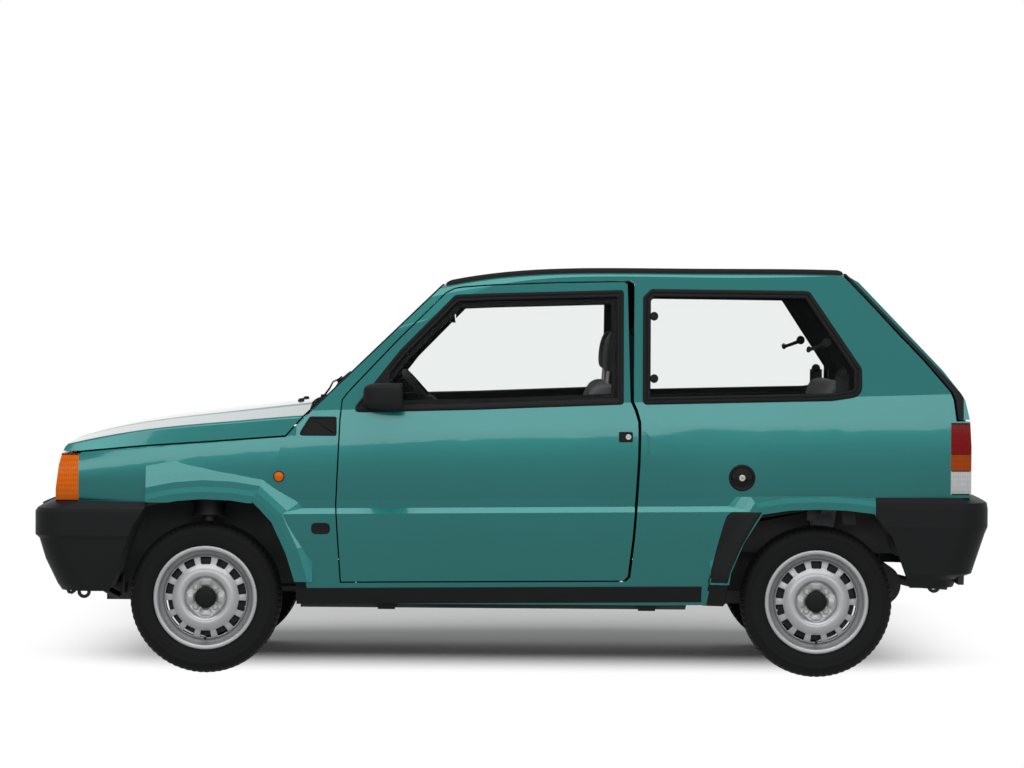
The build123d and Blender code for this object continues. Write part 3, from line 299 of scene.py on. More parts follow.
def banded_lens(name, red, amber, clear, low_split, high_split):
    """Tail lamp: clear below, amber between, red above, with fine upright prisms; painted highlights and
    shade along the prisms and rows lighten and darken its colour.
    """
    m = Finish(name)
    at = m.node("ShaderNodeSeparateXYZ", None, Vector=m.place())
    z = at["Z"]
    ribs = ((at["Y"] + at["X"]) * (2 * pi / 0.007)).sine()
    rows = (z * (2 * pi / 0.018)).sine()
    fine = m.noise(55.0)
    colour = m.blend(z > high_split, m.blend(z > low_split, clear, amber), red)
    # darker copies of each colour: the painted shade between the prisms' highlights
    painted_shade_low = m.blend(z > low_split, [c * 0.55 for c in clear], [c * 0.4 for c in amber])
    deep = m.blend(z > high_split, painted_shade_low, [c * 0.35 for c in red])
    # painted highlight and shade along the prisms and rows
    light = (ribs * 0.2 + rows * 0.08 + 0.4 + fine * 0.35).clamp()
    return lens_body(m, m.blend(light, deep, colour), ribs, fine)


def clear_lens(name):
    """Fluted headlamp cover: bright glass that shows the bowl behind it."""
    m = Finish(name)
    fine = m.noise(90.0)
    through = m.node("ShaderNodeBsdfTransparent", None, Color=(0.86, 0.89, 0.89))["BSDF"]
    shine = m.surface(Base_Color=(0.55, 0.58, 0.58), Roughness=0.05 + fine * 0.05, IOR=1.5)
    slant = m.node("ShaderNodeLayerWeight", None, Blend=0.5)["Fresnel"]
    mixed = m.node("ShaderNodeMixShader", None, (slant * 0.6 + 0.22).clamp(), through, shine)["Shader"]
    return m.output(mixed)


def woven(name, colour, thread_colour, thread, stripe=0.0):
    """Seat cloth: crossed threads, slightly fuzzy, with optional lengthwise stripes."""
    m = Finish(name)
    parts = m.node("ShaderNodeSeparateXYZ", None, Vector=m.place())
    rate = 2 * pi / thread
    weave = (parts["Y"] * rate).sine() * ((parts["Z"] + parts["X"]) * rate).sine()
    fuzz = m.noise(900.0, 2.0)
    soft = m.noise(6.0, 3.0)
    lines = ((parts["Y"] * (2 * pi / 0.030)).sine() > 0.4) * stripe
    shade = (weave * 0.3 + fuzz * 0.4 + soft * 0.3 + 0.05 + lines).clamp()
    return m.output(m.surface(
        Base_Color=m.blend(shade, colour, thread_colour),
        Roughness=0.92 - fuzz * 0.1, Sheen_Weight=0.35, Sheen_Roughness=0.5, Specular_IOR_Level=0.2,
        Normal=m.bump(weave + fuzz, 0.6, 0.0008),
    ))


def silvered(name):
    """Mirror glass and lamp bowls."""
    m = Finish(name)
    dust = m.noise(12.0, 3.0)
    return m.output(m.surface(
        Base_Color=m.blend(dust, (0.72, 0.74, 0.75), (0.86, 0.87, 0.88)), Metallic=1.0,
        Roughness=0.04 + dust * 0.05, Normal=m.bump(m.noise(30.0), 0.05, 0.0002),
    ))


def plate_finish(name, colour, rim):
    """Blank plate or dial: a plain ground with faint scuffs."""
    m = Finish(name)
    scuff = m.noise(40.0, 4.0)
    return m.output(m.surface(
        Base_Color=m.blend(scuff, rim, colour), Roughness=0.38 + (scuff - 0.5) * 0.2,
        Normal=m.bump(m.noise(400.0), 0.2, 0.0002),
    ))


def number(name, what, default, low=0.0):
    return FloatProperty(name=name, description=what, default=default, min=low)


def colour_of(name, what, default):
    return FloatVectorProperty(name=name, description=what, subtype="COLOR", default=default)


class CityCarFinish(PropertyGroup):
    """Colours that an owner would choose."""

    paint: colour_of("Paint", "Body colour", (0.0085, 0.118, 0.113))
    paint_deep: colour_of("Paint, deep", "Body colour in its darker clouds", (0.0060, 0.096, 0.092))
    lining: colour_of("Lining", "Door and side trim", (0.010, 0.012, 0.013))
    headlining: colour_of("Headlining", "Roof lining", (0.30, 0.30, 0.29))
    cloth: colour_of("Cloth", "Seat cloth", (0.105, 0.115, 0.120))
    amber: colour_of("Amber", "Indicator lenses", (0.66, 0.125, 0.002))


def make_finishes(s):
    """Every material of the car, by a maker's name."""
    paint, deep = tuple(s.paint), tuple(s.paint_deep)
    lining, cloth, amber = tuple(s.lining), tuple(s.cloth), tuple(s.amber)
    return {
        "side_paint": car_paint("turquoise_sides", paint, deep, lining, side_trimmed),
        "roof_paint": car_paint("turquoise_roof", paint, deep, tuple(s.headlining), roof_trimmed, 0.9),
        "tail_paint": car_paint("turquoise_tail", paint, deep, lining, tail_trimmed),
        # painted shade: the bonnet's underside gets a darker copy of the paint, at half its deep colour
        "lid_paint": car_paint("turquoise_lid", paint, deep, [c * 0.5 for c in deep], lid_trimmed, 0.5),
        "inner_paint": metal("sealed_primer", (0.0050, 0.0080, 0.0080), (0.0030, 0.0045, 0.0045), 0.7, 0.0),
        "bumper": grained("bumper_plastic", (0.0058, 0.0062, 0.0066), (0.0085, 0.0090, 0.0094), 0.50,
                          0.0016, 0.0005),
        "black": grained("black_plastic", (0.0045, 0.0048, 0.0050), (0.0075, 0.0078, 0.0080), 0.42, 0.0010,
                         0.0003),
        "gloss_black": grained("gloss_black", (0.004, 0.004, 0.004), (0.006, 0.006, 0.006), 0.15, 0.0030,
                               0.0001),
        "rubber": grained("seal_rubber", (0.0032, 0.0034, 0.0036), (0.0060, 0.0062, 0.0064), 0.48, 0.0015,
                          0.0001),
        "tyre": grained("tyre_rubber", (0.0040, 0.0042, 0.0044), (0.0066, 0.0068, 0.0070), 0.62, 0.0020,
                        0.0004),
        "mat": grained("floor_mat", (0.006, 0.006, 0.006), (0.010, 0.010, 0.010), 0.9, 0.0040, 0.0010),
        "glass": window_glass("window_glass", (0.985, 0.993, 0.991)),
        "clear_lens": clear_lens("clear_lens"),
        "clear_lamp": lamp_plastic("clear_lamp", (0.66, 0.68, 0.69), 0.009),
        "amber_lamp": lamp_plastic("amber_lens", amber, 0.006),
        "tail_lens": banded_lens("tail_lens", (0.19, 0.002, 0.003), (0.33, 0.050, 0.002),
                                 (0.46, 0.48, 0.48), 0.735, 0.795),
        "silvered": silvered("silvered"),
        "wheel": metal("wheel_silver", (0.33, 0.337, 0.34), (0.25, 0.256, 0.26), 0.36, 0.5, 90.0, 0.0003),
        "zinc": metal("zinc_plate", (0.34, 0.34, 0.33), (0.20, 0.20, 0.19), 0.42, 0.9, 120.0),
        "chassis": metal("chassis_black", (0.0070, 0.0070, 0.0075), (0.0040, 0.0040, 0.0040), 0.6, 0.2),
        "steel": metal("dull_steel", (0.22, 0.215, 0.21), (0.12, 0.115, 0.11), 0.5),
        "iron": metal("cast_iron", (0.075, 0.073, 0.070), (0.035, 0.033, 0.030), 0.7, 0.6, 40.0, 0.001),
        "alloy": metal("cast_alloy", (0.42, 0.42, 0.41), (0.26, 0.26, 0.25), 0.55, 0.9, 50.0, 0.001),
        "cloth": woven("seat_cloth", [c * 0.6 for c in cloth], [c * 1.9 for c in cloth], 0.0030),
        "insert": woven("seat_insert", [c * 0.7 for c in cloth], [c * 2.2 for c in cloth], 0.0030, 0.25),
        "dark_cloth": woven("dark_cloth", (0.010, 0.011, 0.012), (0.030, 0.032, 0.034), 0.0026),
        "webbing": woven("belt_webbing", (0.008, 0.008, 0.009), (0.020, 0.020, 0.021), 0.0018),
        "dash": grained("dash_plastic", (0.018, 0.0185, 0.020), (0.026, 0.0265, 0.028), 0.6, 0.0014,
                        0.0005),
        "plate_front": plate_finish("plate_white", (0.74, 0.74, 0.72), (0.66, 0.66, 0.64)),
        "dial": plate_finish("dial_face", (0.012, 0.012, 0.013), (0.018, 0.018, 0.019)),
    }


SLOT_FINISH = {
    "paint": "side_paint", "inner_paint": "inner_paint", "black_plastic": "bumper", "glass": "glass",
    "clear_lamp": "clear_lamp", "amber_lamp": "amber_lamp", "red_lamp": "tail_lens", "tyre": "tyre",
    "wheel_paint": "wheel", "chassis": "chassis", "steel": "steel", "iron": "iron", "fabric": "cloth",
    "dash": "dash",
}
NODE_FINISH = {
    "roof_panel": "roof_paint", "tailgate": "tail_paint", "bonnet": "lid_paint", "grille": "black",
    "arch_trims": "bumper", "rear_wheel_boxes": "chassis", "exhaust": "chassis",
    "windscreen_wiper": "black", "rear_wiper": "black",
}
F = {}


class CITYCAR_OT_finishes(Operator):
    """Makes the materials and gives every carried-over node its own"""

    bl_idname = "citycar.finishes"
    bl_label = "Finishes"

    def execute(self, context):
        F.update(make_finishes(context.scene.citycar_finish))
        for entry in frame["record"]["subparts"]:
            name = entry["node"]
            materials = NODES[name].data.materials
            materials.clear()
            materials.append(F[NODE_FINISH.get(name, SLOT_FINISH[entry["material_slot"]])])
        return {"FINISHED"}


# ---------------------------------------------------------------- the car's surfaces, in millimetres
def taper(x):
    """How far the side is drawn in along the car."""
    front, rear = max(0.0, -x - 900.0) / 700.0, max(0.0, x - 950.0) / 650.0
    return 4.0 * (x / 1700.0) ** 2 + 38.0 * front**2 + 32.0 * rear**2


def belt_z(x):
    """Height of the widest line below the windows."""
    d = x + 600.0
    return 847.0 + (0.062 * d - 1.9e-5 * d * d if d < 0 else 0.0406 * d - 6.7e-6 * d * d)


def arc_at(a, b, c, z):
    """Width at a height on the arc through three (width, z) points."""
    (x1, y1), (x2, y2), (x3, y3) = a, b, c
    d = 2 * (x1 * (y2 - y3) + x2 * (y3 - y1) + x3 * (y1 - y2))
    s1, s2, s3 = x1 * x1 + y1 * y1, x2 * x2 + y2 * y2, x3 * x3 + y3 * y3
    ux = (s1 * (y2 - y3) + s2 * (y3 - y1) + s3 * (y1 - y2)) / d
    uy = (s1 * (x3 - x2) + s2 * (x1 - x3) + s3 * (x2 - x1)) / d
    r2 = (x1 - ux) ** 2 + (y1 - uy) ** 2
    side = 1 if x2 > ux else -1
    return ux + side * max(0.0, r2 - (z - uy) ** 2) ** 0.5


def side_half(x, z):
    """Distance of the body's side from the middle plane."""
    t, r = taper(x), RAKE * x
    q = [(690 - t, 246 + r), (722 - t, 318 + r), (739 - t, 480 + r), (742 - t, 578 + r), (727 - t, 597 + r),
         (728 - t, 627 + r), (732 - t, 740), (725 - t, belt_z(x)), (716 - t, 955.5 + 0.0325 * x),
         (581 - t, 1500)]
    if q[1][1] <= z <= q[3][1]:
        return arc_at(q[1], q[2], q[3], z)
    if q[5][1] <= z <= q[7][1]:
        return arc_at(q[5], q[6], q[7], z)
    for (w0, z0), (w1, z1) in zip(q, q[1:]):
        if z <= z1:
            return w0 + (w1 - w0) * (z - z0) / (z1 - z0)
    return q[-1][0]


def on_side(x, z, off):
    """Point standing off the left side of the body."""
    slope = (side_half(x, z + 2) - side_half(x, z - 2)) / 4
    k = 1 / hypot(1.0, slope)
    return (x, -(side_half(x, z - off * slope * k) + off * k), z - off * slope * k)


def on_screen(y, z, off):
    """Point standing off the windscreen's own plane; the glass lies 9 mm behind it."""
    k = hypot(1.0, SCREEN_LEAN)
    return (-242.0 - (1383.0 - z) * SCREEN_LEAN - off / k, y, z + off * SCREEN_LEAN / k)


def on_tail_slope(y, up, off):
    """Point on the tailgate's upper slope, up along it from the window's middle."""
    return (1373.0 - TAIL_RUN * up + TAIL_RISE * off, y, 1245.0 + TAIL_RISE * up + TAIL_RUN * off)


# ---------------------------------------------------------------- outlines
def rounded(points, radii, steps=5, closed=True):
    """Polygon with each corner turned on its own radius."""
    out, n = [], len(points)
    radii = [radii] * n if isinstance(radii, (int, float)) else radii
    for i, (p, r) in enumerate(zip(points, radii)):
        p = Vector(p)
        if r <= 0 or (not closed and i in (0, n - 1)):
            out.append(tuple(p))
            continue
        a, b = Vector(points[i - 1]) - p, Vector(points[(i + 1) % n]) - p
        half = a.angle(b) / 2
        cut = min(r / max(1e-6, abs(sin(half) / cos(half))), a.length * 0.48, b.length * 0.48)
        start, end = p + a.normalized() * cut, p + b.normalized() * cut
        for k in range(steps + 1):
            t = k / steps
            out.append(tuple(start * (1 - t) ** 2 + p * 2 * t * (1 - t) + end * t * t))
    return out


def spread(points, step, closed=True):
    """The same polyline with long runs divided."""
    out = []
    pairs = list(zip(points, points[1:] + points[:1])) if closed else list(zip(points, points[1:]))
    for a, b in pairs:
        a, b = Vector(a), Vector(b)
        parts = max(1, int((b - a).length / step + 0.5))
        out += [tuple(a.lerp(b, k / parts)) for k in range(parts)]
    return out if closed else out + [tuple(points[-1])]


def inward(points, closed=True):
    """At each point, the mitred normal to the left of the direction of travel."""
    out, n = [], len(points)
    for i in range(n):
        before = Vector(points[i]) - Vector(points[i - 1]) if closed or i else None
        after = Vector(points[(i + 1) % n]) - Vector(points[i]) if closed or i < n - 1 else None
        before, after = before or after, after or before
        a, b = before.normalized(), after.normalized()
        na, nb = Vector((-a.y, a.x)), Vector((-b.y, b.x))
        m = (na + nb).normalized()
        out.append(m / max(0.5, m.dot(na)))
    return out


def area_sign(points):
    return 1 if sum(a[0] * b[1] - b[0] * a[1] for a, b in zip(points, points[1:] + points[:1])) > 0 else -1


# ---------------------------------------------------------------- meshes
def piece(name, points, faces, finish, body="body", soft=35.0):
    """Mesh object from points in millimetres, shaded smooth up to an angle, riding on a body."""
    mesh = bpy.data.meshes.new(name)
    mesh.from_pydata([tuple(c * MM for c in p) for p in points], [], faces)
    obj = bpy.data.objects.new(name, mesh)
    bpy.context.scene.collection.objects.link(obj)
    tidy(obj, soft)
    mesh.materials.append(F[finish])
    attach(obj, body)
    return obj


def tidy(obj, soft=35.0):
    """Welds, points normals outward and sets smooth shading up to an angle."""
    bm = bmesh.new()
    bm.from_mesh(obj.data)
    bmesh.ops.remove_doubles(bm, verts=bm.verts, dist=1e-6)
    bmesh.ops.recalc_face_normals(bm, faces=bm.faces)
    for face in bm.faces:
        face.smooth = True
    for edge in bm.edges:
        edge.smooth = not edge.is_boundary and edge.calc_face_angle(0.0) < radians(soft)
    bm.to_mesh(obj.data)
    bm.free()


def joined(parts):
    """One (points, faces) from several."""
    points, faces = [], []
    for p, f in parts:
        n = len(points)
        points += p
        faces += [tuple(i + n for i in face) for face in f]
    return points, faces


def rings(loops, closed_loop=True, closed_way=False, caps=True):
    """Skin over a row of loops of equal length."""
    n = len(loops[0])
    points = [p for loop in loops for p in loop]
    faces = []
    rows = len(loops) if closed_way else len(loops) - 1
    for i in range(rows):
        a, b = i * n, (i + 1) % len(loops) * n
        for k in range(n if closed_loop else n - 1):
            m = (k + 1) % n
            faces.append((a + k, a + m, b + m, b + k))
    if caps and not closed_way and closed_loop:
        faces += [tuple(range(n)), tuple(range(len(points) - n, len(points)))]
    return points, faces


def strip(outline, profile, place, closed=True):
    """Profile of (inward, height) points carried along an outline; place() puts it on its surface."""
    sign = area_sign(outline) if closed else 1
    loops = []
    for p, n in zip(outline, inward(outline, closed)):
        loops.append([place(p[0] + n.x * sign * a, p[1] + n.y * sign * a, h) for a, h in profile])
    return rings(loops, closed_way=closed)


def plate(outline, levels, place):
    """Raised pad: at each level the outline is drawn in by the first number and stands at the second."""
    sign = area_sign(outline)
    normals = inward(outline)
    return rings([[place(p[0] + n.x * sign * a, p[1] + n.y * sign * a, h) for p, n in zip(outline, normals)]
                  for a, h in levels])


def turned(profile, segments=48, centre=(0, 0, 0), axis="Y", closed=False, bump=None):
    """Profile of (radius, along) turned about an axis."""
    loops = []
    for k in range(segments):
        a = 2 * pi * k / segments
        loop = []
        for i, (r, y) in enumerate(profile):
            r2, y2 = bump(i, k, r, y) if bump else (r, y)
            u, v = r2 * cos(a), r2 * sin(a)
            p = {"Y": (u, y2, v), "X": (y2, u, v), "Z": (u, v, y2)}[axis]
            loop.append(tuple(c + o for c, o in zip(p, centre)))
        loops.append(loop)
    return rings(loops, closed_loop=closed, closed_way=True)


def tube(path, radius, sides=10, closed=False, squash=1.0, up=(0, 0, 1)):
    """Round bar along a polyline; radius may be a function of the share of the way."""
    loops, n = [], len(path)
    path = [Vector(p) for p in path]
    last = None
    for i, p in enumerate(path):
        a = path[i - 1] if i or closed else path[i]
        b = path[(i + 1) % n] if i < n - 1 or closed else path[i]
        d = (b - a).normalized()
        u = last - d * last.dot(d) if last else Vector(up) - d * Vector(up).dot(d)
        if u.length < 1e-4:
            u = Vector((1, 0, 0)) - d * d.x
        u.normalize()
        last = u
        v = d.cross(u)
        r = radius(i / max(1, n - 1)) if callable(radius) else radius
        turns = [2 * pi * k / sides for k in range(sides)]
        loops.append([tuple(p + u * r * squash * cos(t) + v * r * sin(t)) for t in turns])
    return rings(loops, closed_way=closed)


def brick(low, high, edge=1.5, steps=2):
    """Box with rounded edges."""
    bm = bmesh.new()
    size = [h - l for l, h in zip(low, high)]
    middle = [(h + l) / 2 for l, h in zip(low, high)]
    bmesh.ops.create_cube(bm, size=1.0)
    for v in bm.verts:
        v.co = Vector([c * s + m for c, s, m in zip(v.co, size, middle)])
    bmesh.ops.bevel(bm, geom=bm.edges[:], offset=min(edge, min(size) * 0.45), segments=steps,
                    affect="EDGES")
    return drained(bm)


def drained(bm):
    """(points, faces) out of a bmesh, which is freed."""
    bm.verts.index_update()
    out = [tuple(v.co) for v in bm.verts], [tuple(v.index for v in f.verts) for f in bm.faces]
    bm.free()
    return out


def moved(shape, matrix):
    points, faces = shape
    return [tuple(matrix @ Vector(p)) for p in points], faces


def across(shape):
    """The same on the car's right side."""
    points, faces = shape
    return [(x, -y, z) for x, y, z in points], [tuple(reversed(f)) for f in faces]


def refine(obj, levels):
    """Subdivision surface, left as a modifier."""
    m = obj.modifiers.new("smooth", "SUBSURF")
    m.levels = m.render_levels = levels


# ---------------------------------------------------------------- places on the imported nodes
TREES = {}


def ray_tree(mesh):
    return BVHTree.FromPolygons([v.co for v in mesh.vertices], [p.vertices for p in mesh.polygons])


def cast(node, start, way):
    """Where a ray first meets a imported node, in millimetres."""
    if node not in TREES:
        mesh = NODES[node].data
        TREES[node] = ray_tree(mesh)
    place, normal, _, _ = TREES[node].ray_cast(Vector(start) * MM, Vector(way).normalized())
    if place is None:
        raise ValueError(f"no surface of {node} from {start}")
    return place / MM, normal


def fronted(node, way):
    """Placing function for faces met along an axis: it takes the two other coordinates and a height."""
    axis = [abs(c) > 0.5 for c in way].index(True)

    def place(a, b, h=0.0):
        start = [a, b]
        start.insert(axis, -RAY_FROM * way[axis])
        hit, _ = cast(node, start, way)
        return tuple(hit - Vector(way) * h)

    return place


def circle(radius, count):
    return [(radius * cos(2 * pi * k / count), radius * sin(2 * pi * k / count)) for k in range(count)]


def round_pad(place, at, levels, count=28):
    """Stacked rounds on a surface: (radius, height) levels about a point, placed by place()."""
    return rings([[place(at[0] + a, at[1] + b, h) for a, b in circle(r, count)] for r, h in levels])


def square_pad(place, at, levels, power, count):
    """Stacked squarish ovals on a surface: (half width, half height, height) levels about a point."""
    return rings(
        [[place(at[0] + a, at[1] + b, h) for a, b in oval(w, t, power, count)] for w, t, h in levels])


def grid(us, vs, place, thickness, way):
    """Closed sheet over a grid of places, its back shifted along a direction."""
    rows = [[Vector(place(u, v)) for u in us] for v in vs]
    shift = Vector(way) * thickness
    n, m = len(us), len(vs)
    points = [tuple(p) for row in rows for p in row] + [tuple(p + shift) for row in rows for p in row]
    faces = []
    for j in range(m - 1):
        for i in range(n - 1):
            a = j * n + i
            faces.append((a, a + 1, a + n + 1, a + n))
            faces.append((a + n * m + n, a + n * m + n + 1, a + n * m + 1, a + n * m))
    rim = list(range(n)) + [j * n + n - 1 for j in range(1, m)]
    rim += [(m - 1) * n + i for i in range(n - 2, -1, -1)] + [j * n for j in range(m - 2, 0, -1)]
    for a, b in zip(rim, rim[1:] + rim[:1]):
        faces.append((b, a, a + n * m, b + n * m))
    return points, faces


def steps(low, high, count):
    return [low + (high - low) * k / (count - 1) for k in range(count)]


def oval(width, height, power=4.0, count=32):
    """Superellipse: squarer as the power grows."""
    out = []
    for k in range(count):
        c, s = cos(2 * pi * k / count), sin(2 * pi * k / count)
        out.append((width * abs(c) ** (2 / power) * (1 if c > 0 else -1),
                    height * abs(s) ** (2 / power) * (1 if s > 0 else -1)))
    return out


def pair(name, shape, finish, body="body", soft=35.0):
    """The same piece on the car's left and right; {side} in the body's name is filled in."""
    return [piece(f"{name}_{side}", *form, finish, body.format(side=side), soft)
            for side, form in (("left", shape), ("right", across(shape)))]


# ---------------------------------------------------------------- wheels
WHEELS = (("front_left", -AXLE_X, -1), ("front_right", -AXLE_X, 1), ("rear_left", AXLE_X, -1),
          ("rear_right", AXLE_X, 1))


class CityCarWheels(PropertyGroup):
    """Road wheels and tyres."""

    windows: IntProperty(name="Windows", description="Holes round the wheel's disc", default=14, min=3)
    bolt_circle: number("Bolt circle", "Radius of the bolts' circle, mm", 49.0)
    tread_blocks: IntProperty(name="Tread blocks", description="Shoulder blocks round a tyre", default=72,
                              min=12)
    tread_depth: number("Tread depth", "Depth of the main grooves, mm", 6.5)


def wheel_place(x, side):
    turn = Matrix.Rotation(0 if side < 0 else pi, 4, "Z")
    return Matrix.Translation((x, side * TRACK_HALF, TYRE_R)) @ turn


RIM_SECTION = [
    (182, -50), (182, -56), (180, -58.6), (176.5, -59.4), (173, -58), (170.5, -53), (169.5, -46),
    (168, -36), (163, -28), (152, -21), (149, -14), (149, 16), (158, 29), (166, 35), (168, 46), (174, 54),
    (182, 55), (182, 58), (175, 58), (164, 50), (162, 38), (154, 33), (145, 20), (145, -15), (149, -24),
    (159.5, -31), (163.5, -38), (165.5, -47), (167.5, -55), (171, -60), (176.5, -61.5), (181.5, -60.5),
    (183.8, -57), (183.5, -50),
]
DISC_SECTION = [
    (30, -34), (38, -34), (43, -34.5), (50, -35), (58, -36), (64, -37), (68, -40), (72, -46), (77, -51.5),
    (84, -54.5), (93, -55), (101, -53), (108, -49), (114, -44.5), (119, -41.5), (122.5, -40), (125, -39.4),
    (135, -36.5), (143, -33.5), (145.5, -32), (148, -29), (149.5, -24), (149.5, -16),
]
WINDOW_FROM, WINDOW_TO = 14, 19


def disc_shape(windows):
    """Pressed disc on a polar grid, with openings left out of its outer band."""
    share = 360.0 / windows
    cuts = (-0.29 * share, -0.2 * share, 0.0, 0.2 * share, 0.29 * share, 0.5 * share)
    angles = [radians(90 + k * share + c) for k in range(windows) for c in cuts]
    points, faces, n = [], [], len(DISC_SECTION)
    for a in angles:
        lobe = max(0.0, cos(4 * a)) ** 0.6
        for r, y in DISC_SECTION:
            raised = 9.0 * lobe if 40 < r < 66 else 0.0
            points.append((r * cos(a), y - raised, r * sin(a)))
    for k in range(len(angles)):
        m = (k + 1) % len(angles)
        for i in range(n - 1):
            if WINDOW_FROM <= i < WINDOW_TO and k % len(cuts) < 4:
                continue
            faces.append((k * n + i, k * n + i + 1, m * n + i + 1, m * n + i))
    return points, faces


def bolt_shape(x, z):
    """Hexagon head with a chamfer, on a cone seat."""
    head = turned([(0, -46.5), (7.2, -46.5), (9.4, -44.6), (9.4, -38), (0, -38)], 6, (x, 0, z))
    seat = turned([(0, -39.5), (11.5, -39.5), (13, -35), (13, -33), (0, -33)], 24, (x, 0, z))
    return joined([head, seat])


CAP_SECTION = [(0, -59), (20, -58.6), (31, -57), (35.5, -53.5), (37.5, -47), (38, -34), (0, -34)]
SIDE_OUT = [
    (174, -47), (180, -52), (184.5, -56), (186, -59.5), (188.5, -62), (191.5, -61.4), (193, -62.6),
    (200, -64.6), (208, -66), (218, -66.9), (229, -66.4), (230.5, -67), (232.5, -67), (234, -66),
    (243, -64), (247.5, -62.4), (249, -62.8), (253, -60.8), (258, -56.8), (262, -51.5), (264.6, -46.5),
    (266.3, -40), (267.2, -34),
]
SHOULDER_FROM = 17


def tyre_section(depth):
    grooves = []
    for y0, y1 in ((-30.5, -24.5), (-9.5, -4.0), (4.0, 9.5), (24.5, 30.5)):
        crown = 268 - 0.0011 * y0 * y0
        grooves += [(crown, y0), (crown - depth, y0 + 0.8), (crown - depth, y1 - 0.8), (crown, y1)]
    return SIDE_OUT + grooves + [(r, -y) for r, y in reversed(SIDE_OUT)]


def tyre_shape(blocks, depth):
    section = tyre_section(depth)
    n = len(section)
    ribs = range(len(SIDE_OUT) + 4, n - len(SIDE_OUT) - 4)

    def pattern(i, k, r, y):
        if SHOULDER_FROM <= i < len(SIDE_OUT) + 1 or n - 1 - len(SIDE_OUT) <= i < n - SHOULDER_FROM:
            cut = k % 4 == 3
            deep = 4.5 if r > 262 else 2.6
            return (r - deep, y * 0.992) if cut else (r, y)
        if i in ribs and (k + i) % 8 == 5:
            return r - 2.2, y
        return r, y

    return turned(section, blocks * 4, closed=True, bump=pattern)


class CITYCAR_OT_wheels(Operator):
    """Steel wheels with tyres, bolts, caps and valves"""

    bl_idname = "citycar.wheels"
    bl_label = "Wheels"

    def execute(self, context):
        s = context.scene.citycar_wheels
        tyre, disc = tyre_shape(s.tread_blocks, s.tread_depth), disc_shape(s.windows)
        at = s.bolt_circle * cos(radians(45))
        bolts = joined([bolt_shape(i * at, k * at) for i in (-1, 1) for k in (-1, 1)])
        hoop, cap = turned(RIM_SECTION, 128, closed=True), turned(CAP_SECTION, 40)
        valve = tube([(0, -34, -146), (0, -44, -146), (0, -47, -145.5), (0, -48, -145.3), (0, -60, -144)],
                     lambda t: 3.6 if t < 0.6 else 4.6, 12)
        shield = turned([(52, 2), (138, 2), (138, 14), (134, 14), (134, 5), (52, 5)], 72, closed=True)
        for name, x, side in WHEELS:
            at_wheel, body = wheel_place(x, side), f"wheel_{name}"
            pressing = piece(f"wheel_disc_{name}", *moved(disc, at_wheel), "wheel", body, 80)
            thick = pressing.modifiers.new("sheet", "SOLIDIFY")
            thick.thickness, thick.offset = 3.5 * MM, -1.0
            refine(pressing, 1)
            carrier = f"{'left' if side < 0 else 'right'}_upright" if x < 0 else "body"
            piece(f"brake_shield_{name}", *moved(shield, at_wheel), "chassis", carrier, 30)
            rim = piece(f"wheel_rim_{name}", *moved(hoop, at_wheel), "wheel", body, 50)
            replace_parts(rim, f"rim_{name}")
            rubber = piece(f"tread_tyre_{name}", *moved(tyre, at_wheel), "tyre", body, 32)
            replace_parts(rubber, f"tyre_{name}")
            piece(f"wheel_bolts_{name}", *moved(bolts, at_wheel), "zinc", body, 25)
            piece(f"wheel_cap_{name}", *moved(cap, at_wheel), "black", body, 30)
            piece(f"wheel_valve_{name}", *moved(valve, at_wheel), "rubber", body, 40)
        return {"FINISHED"}


# ---------------------------------------------------------------- window seals
# Sections are (inward, height) from an opening's edge; the side glass lies 9 mm behind the skin.
DOOR_WINDOW = [(-563, 930), (-132, 943), (389, 965), (389, 1362), (-73, 1347), (-203, 1341), (-395, 1145)]
DOOR_WINDOW_R = [16, 0, 8, 8, 0, 24, 0]
QUARTER = [(464, 966), (1128, 984), (1229, 1000), (1229, 1092), (1048, 1362), (492, 1365), (466, 1340)]
QUARTER_R = [14, 40, 40, 30, 20, 10, 6]
DOOR_SEAL = [
    (-4, 0.2), (-3.6, 2.0), (-1, 3.2), (3, 3.5), (7, 2.8), (9.5, 0.8), (11, 0.2), (14, 1.5), (18, 1.3),
    (20.5, -0.6), (21, -4), (21, -9.2), (1, -9.2), (0.6, 0.2),
]
QUARTER_SEAL = [
    (-5, 0.2), (-4.6, 2.6), (-1, 4.8), (4, 5.2), (7.4, 4.4), (9, 1.8), (10.4, 1.2), (12.4, 2.6), (17, 3.6),
    (21, 2.6), (23, 0), (23, -9.2), (1, -9.2), (0.6, 0.2),
]
INNER_DOOR_FRAME = [
    (-22, -66.5), (-20, -69.5), (-8, -71), (3, -70), (7, -66), (7, -50), (1, -48), (-0.6, -66.5),
]
INNER_QUARTER_FRAME = [
    (-26, -66.5), (-24, -70), (-9, -72), (4, -70.5), (9, -66), (9, -46), (1, -44), (-0.6, -66.5),
]
GLASS_RUN = [(18, -15), (18, -30), (38, -30), (40, -24), (40, -17), (38, -15)]


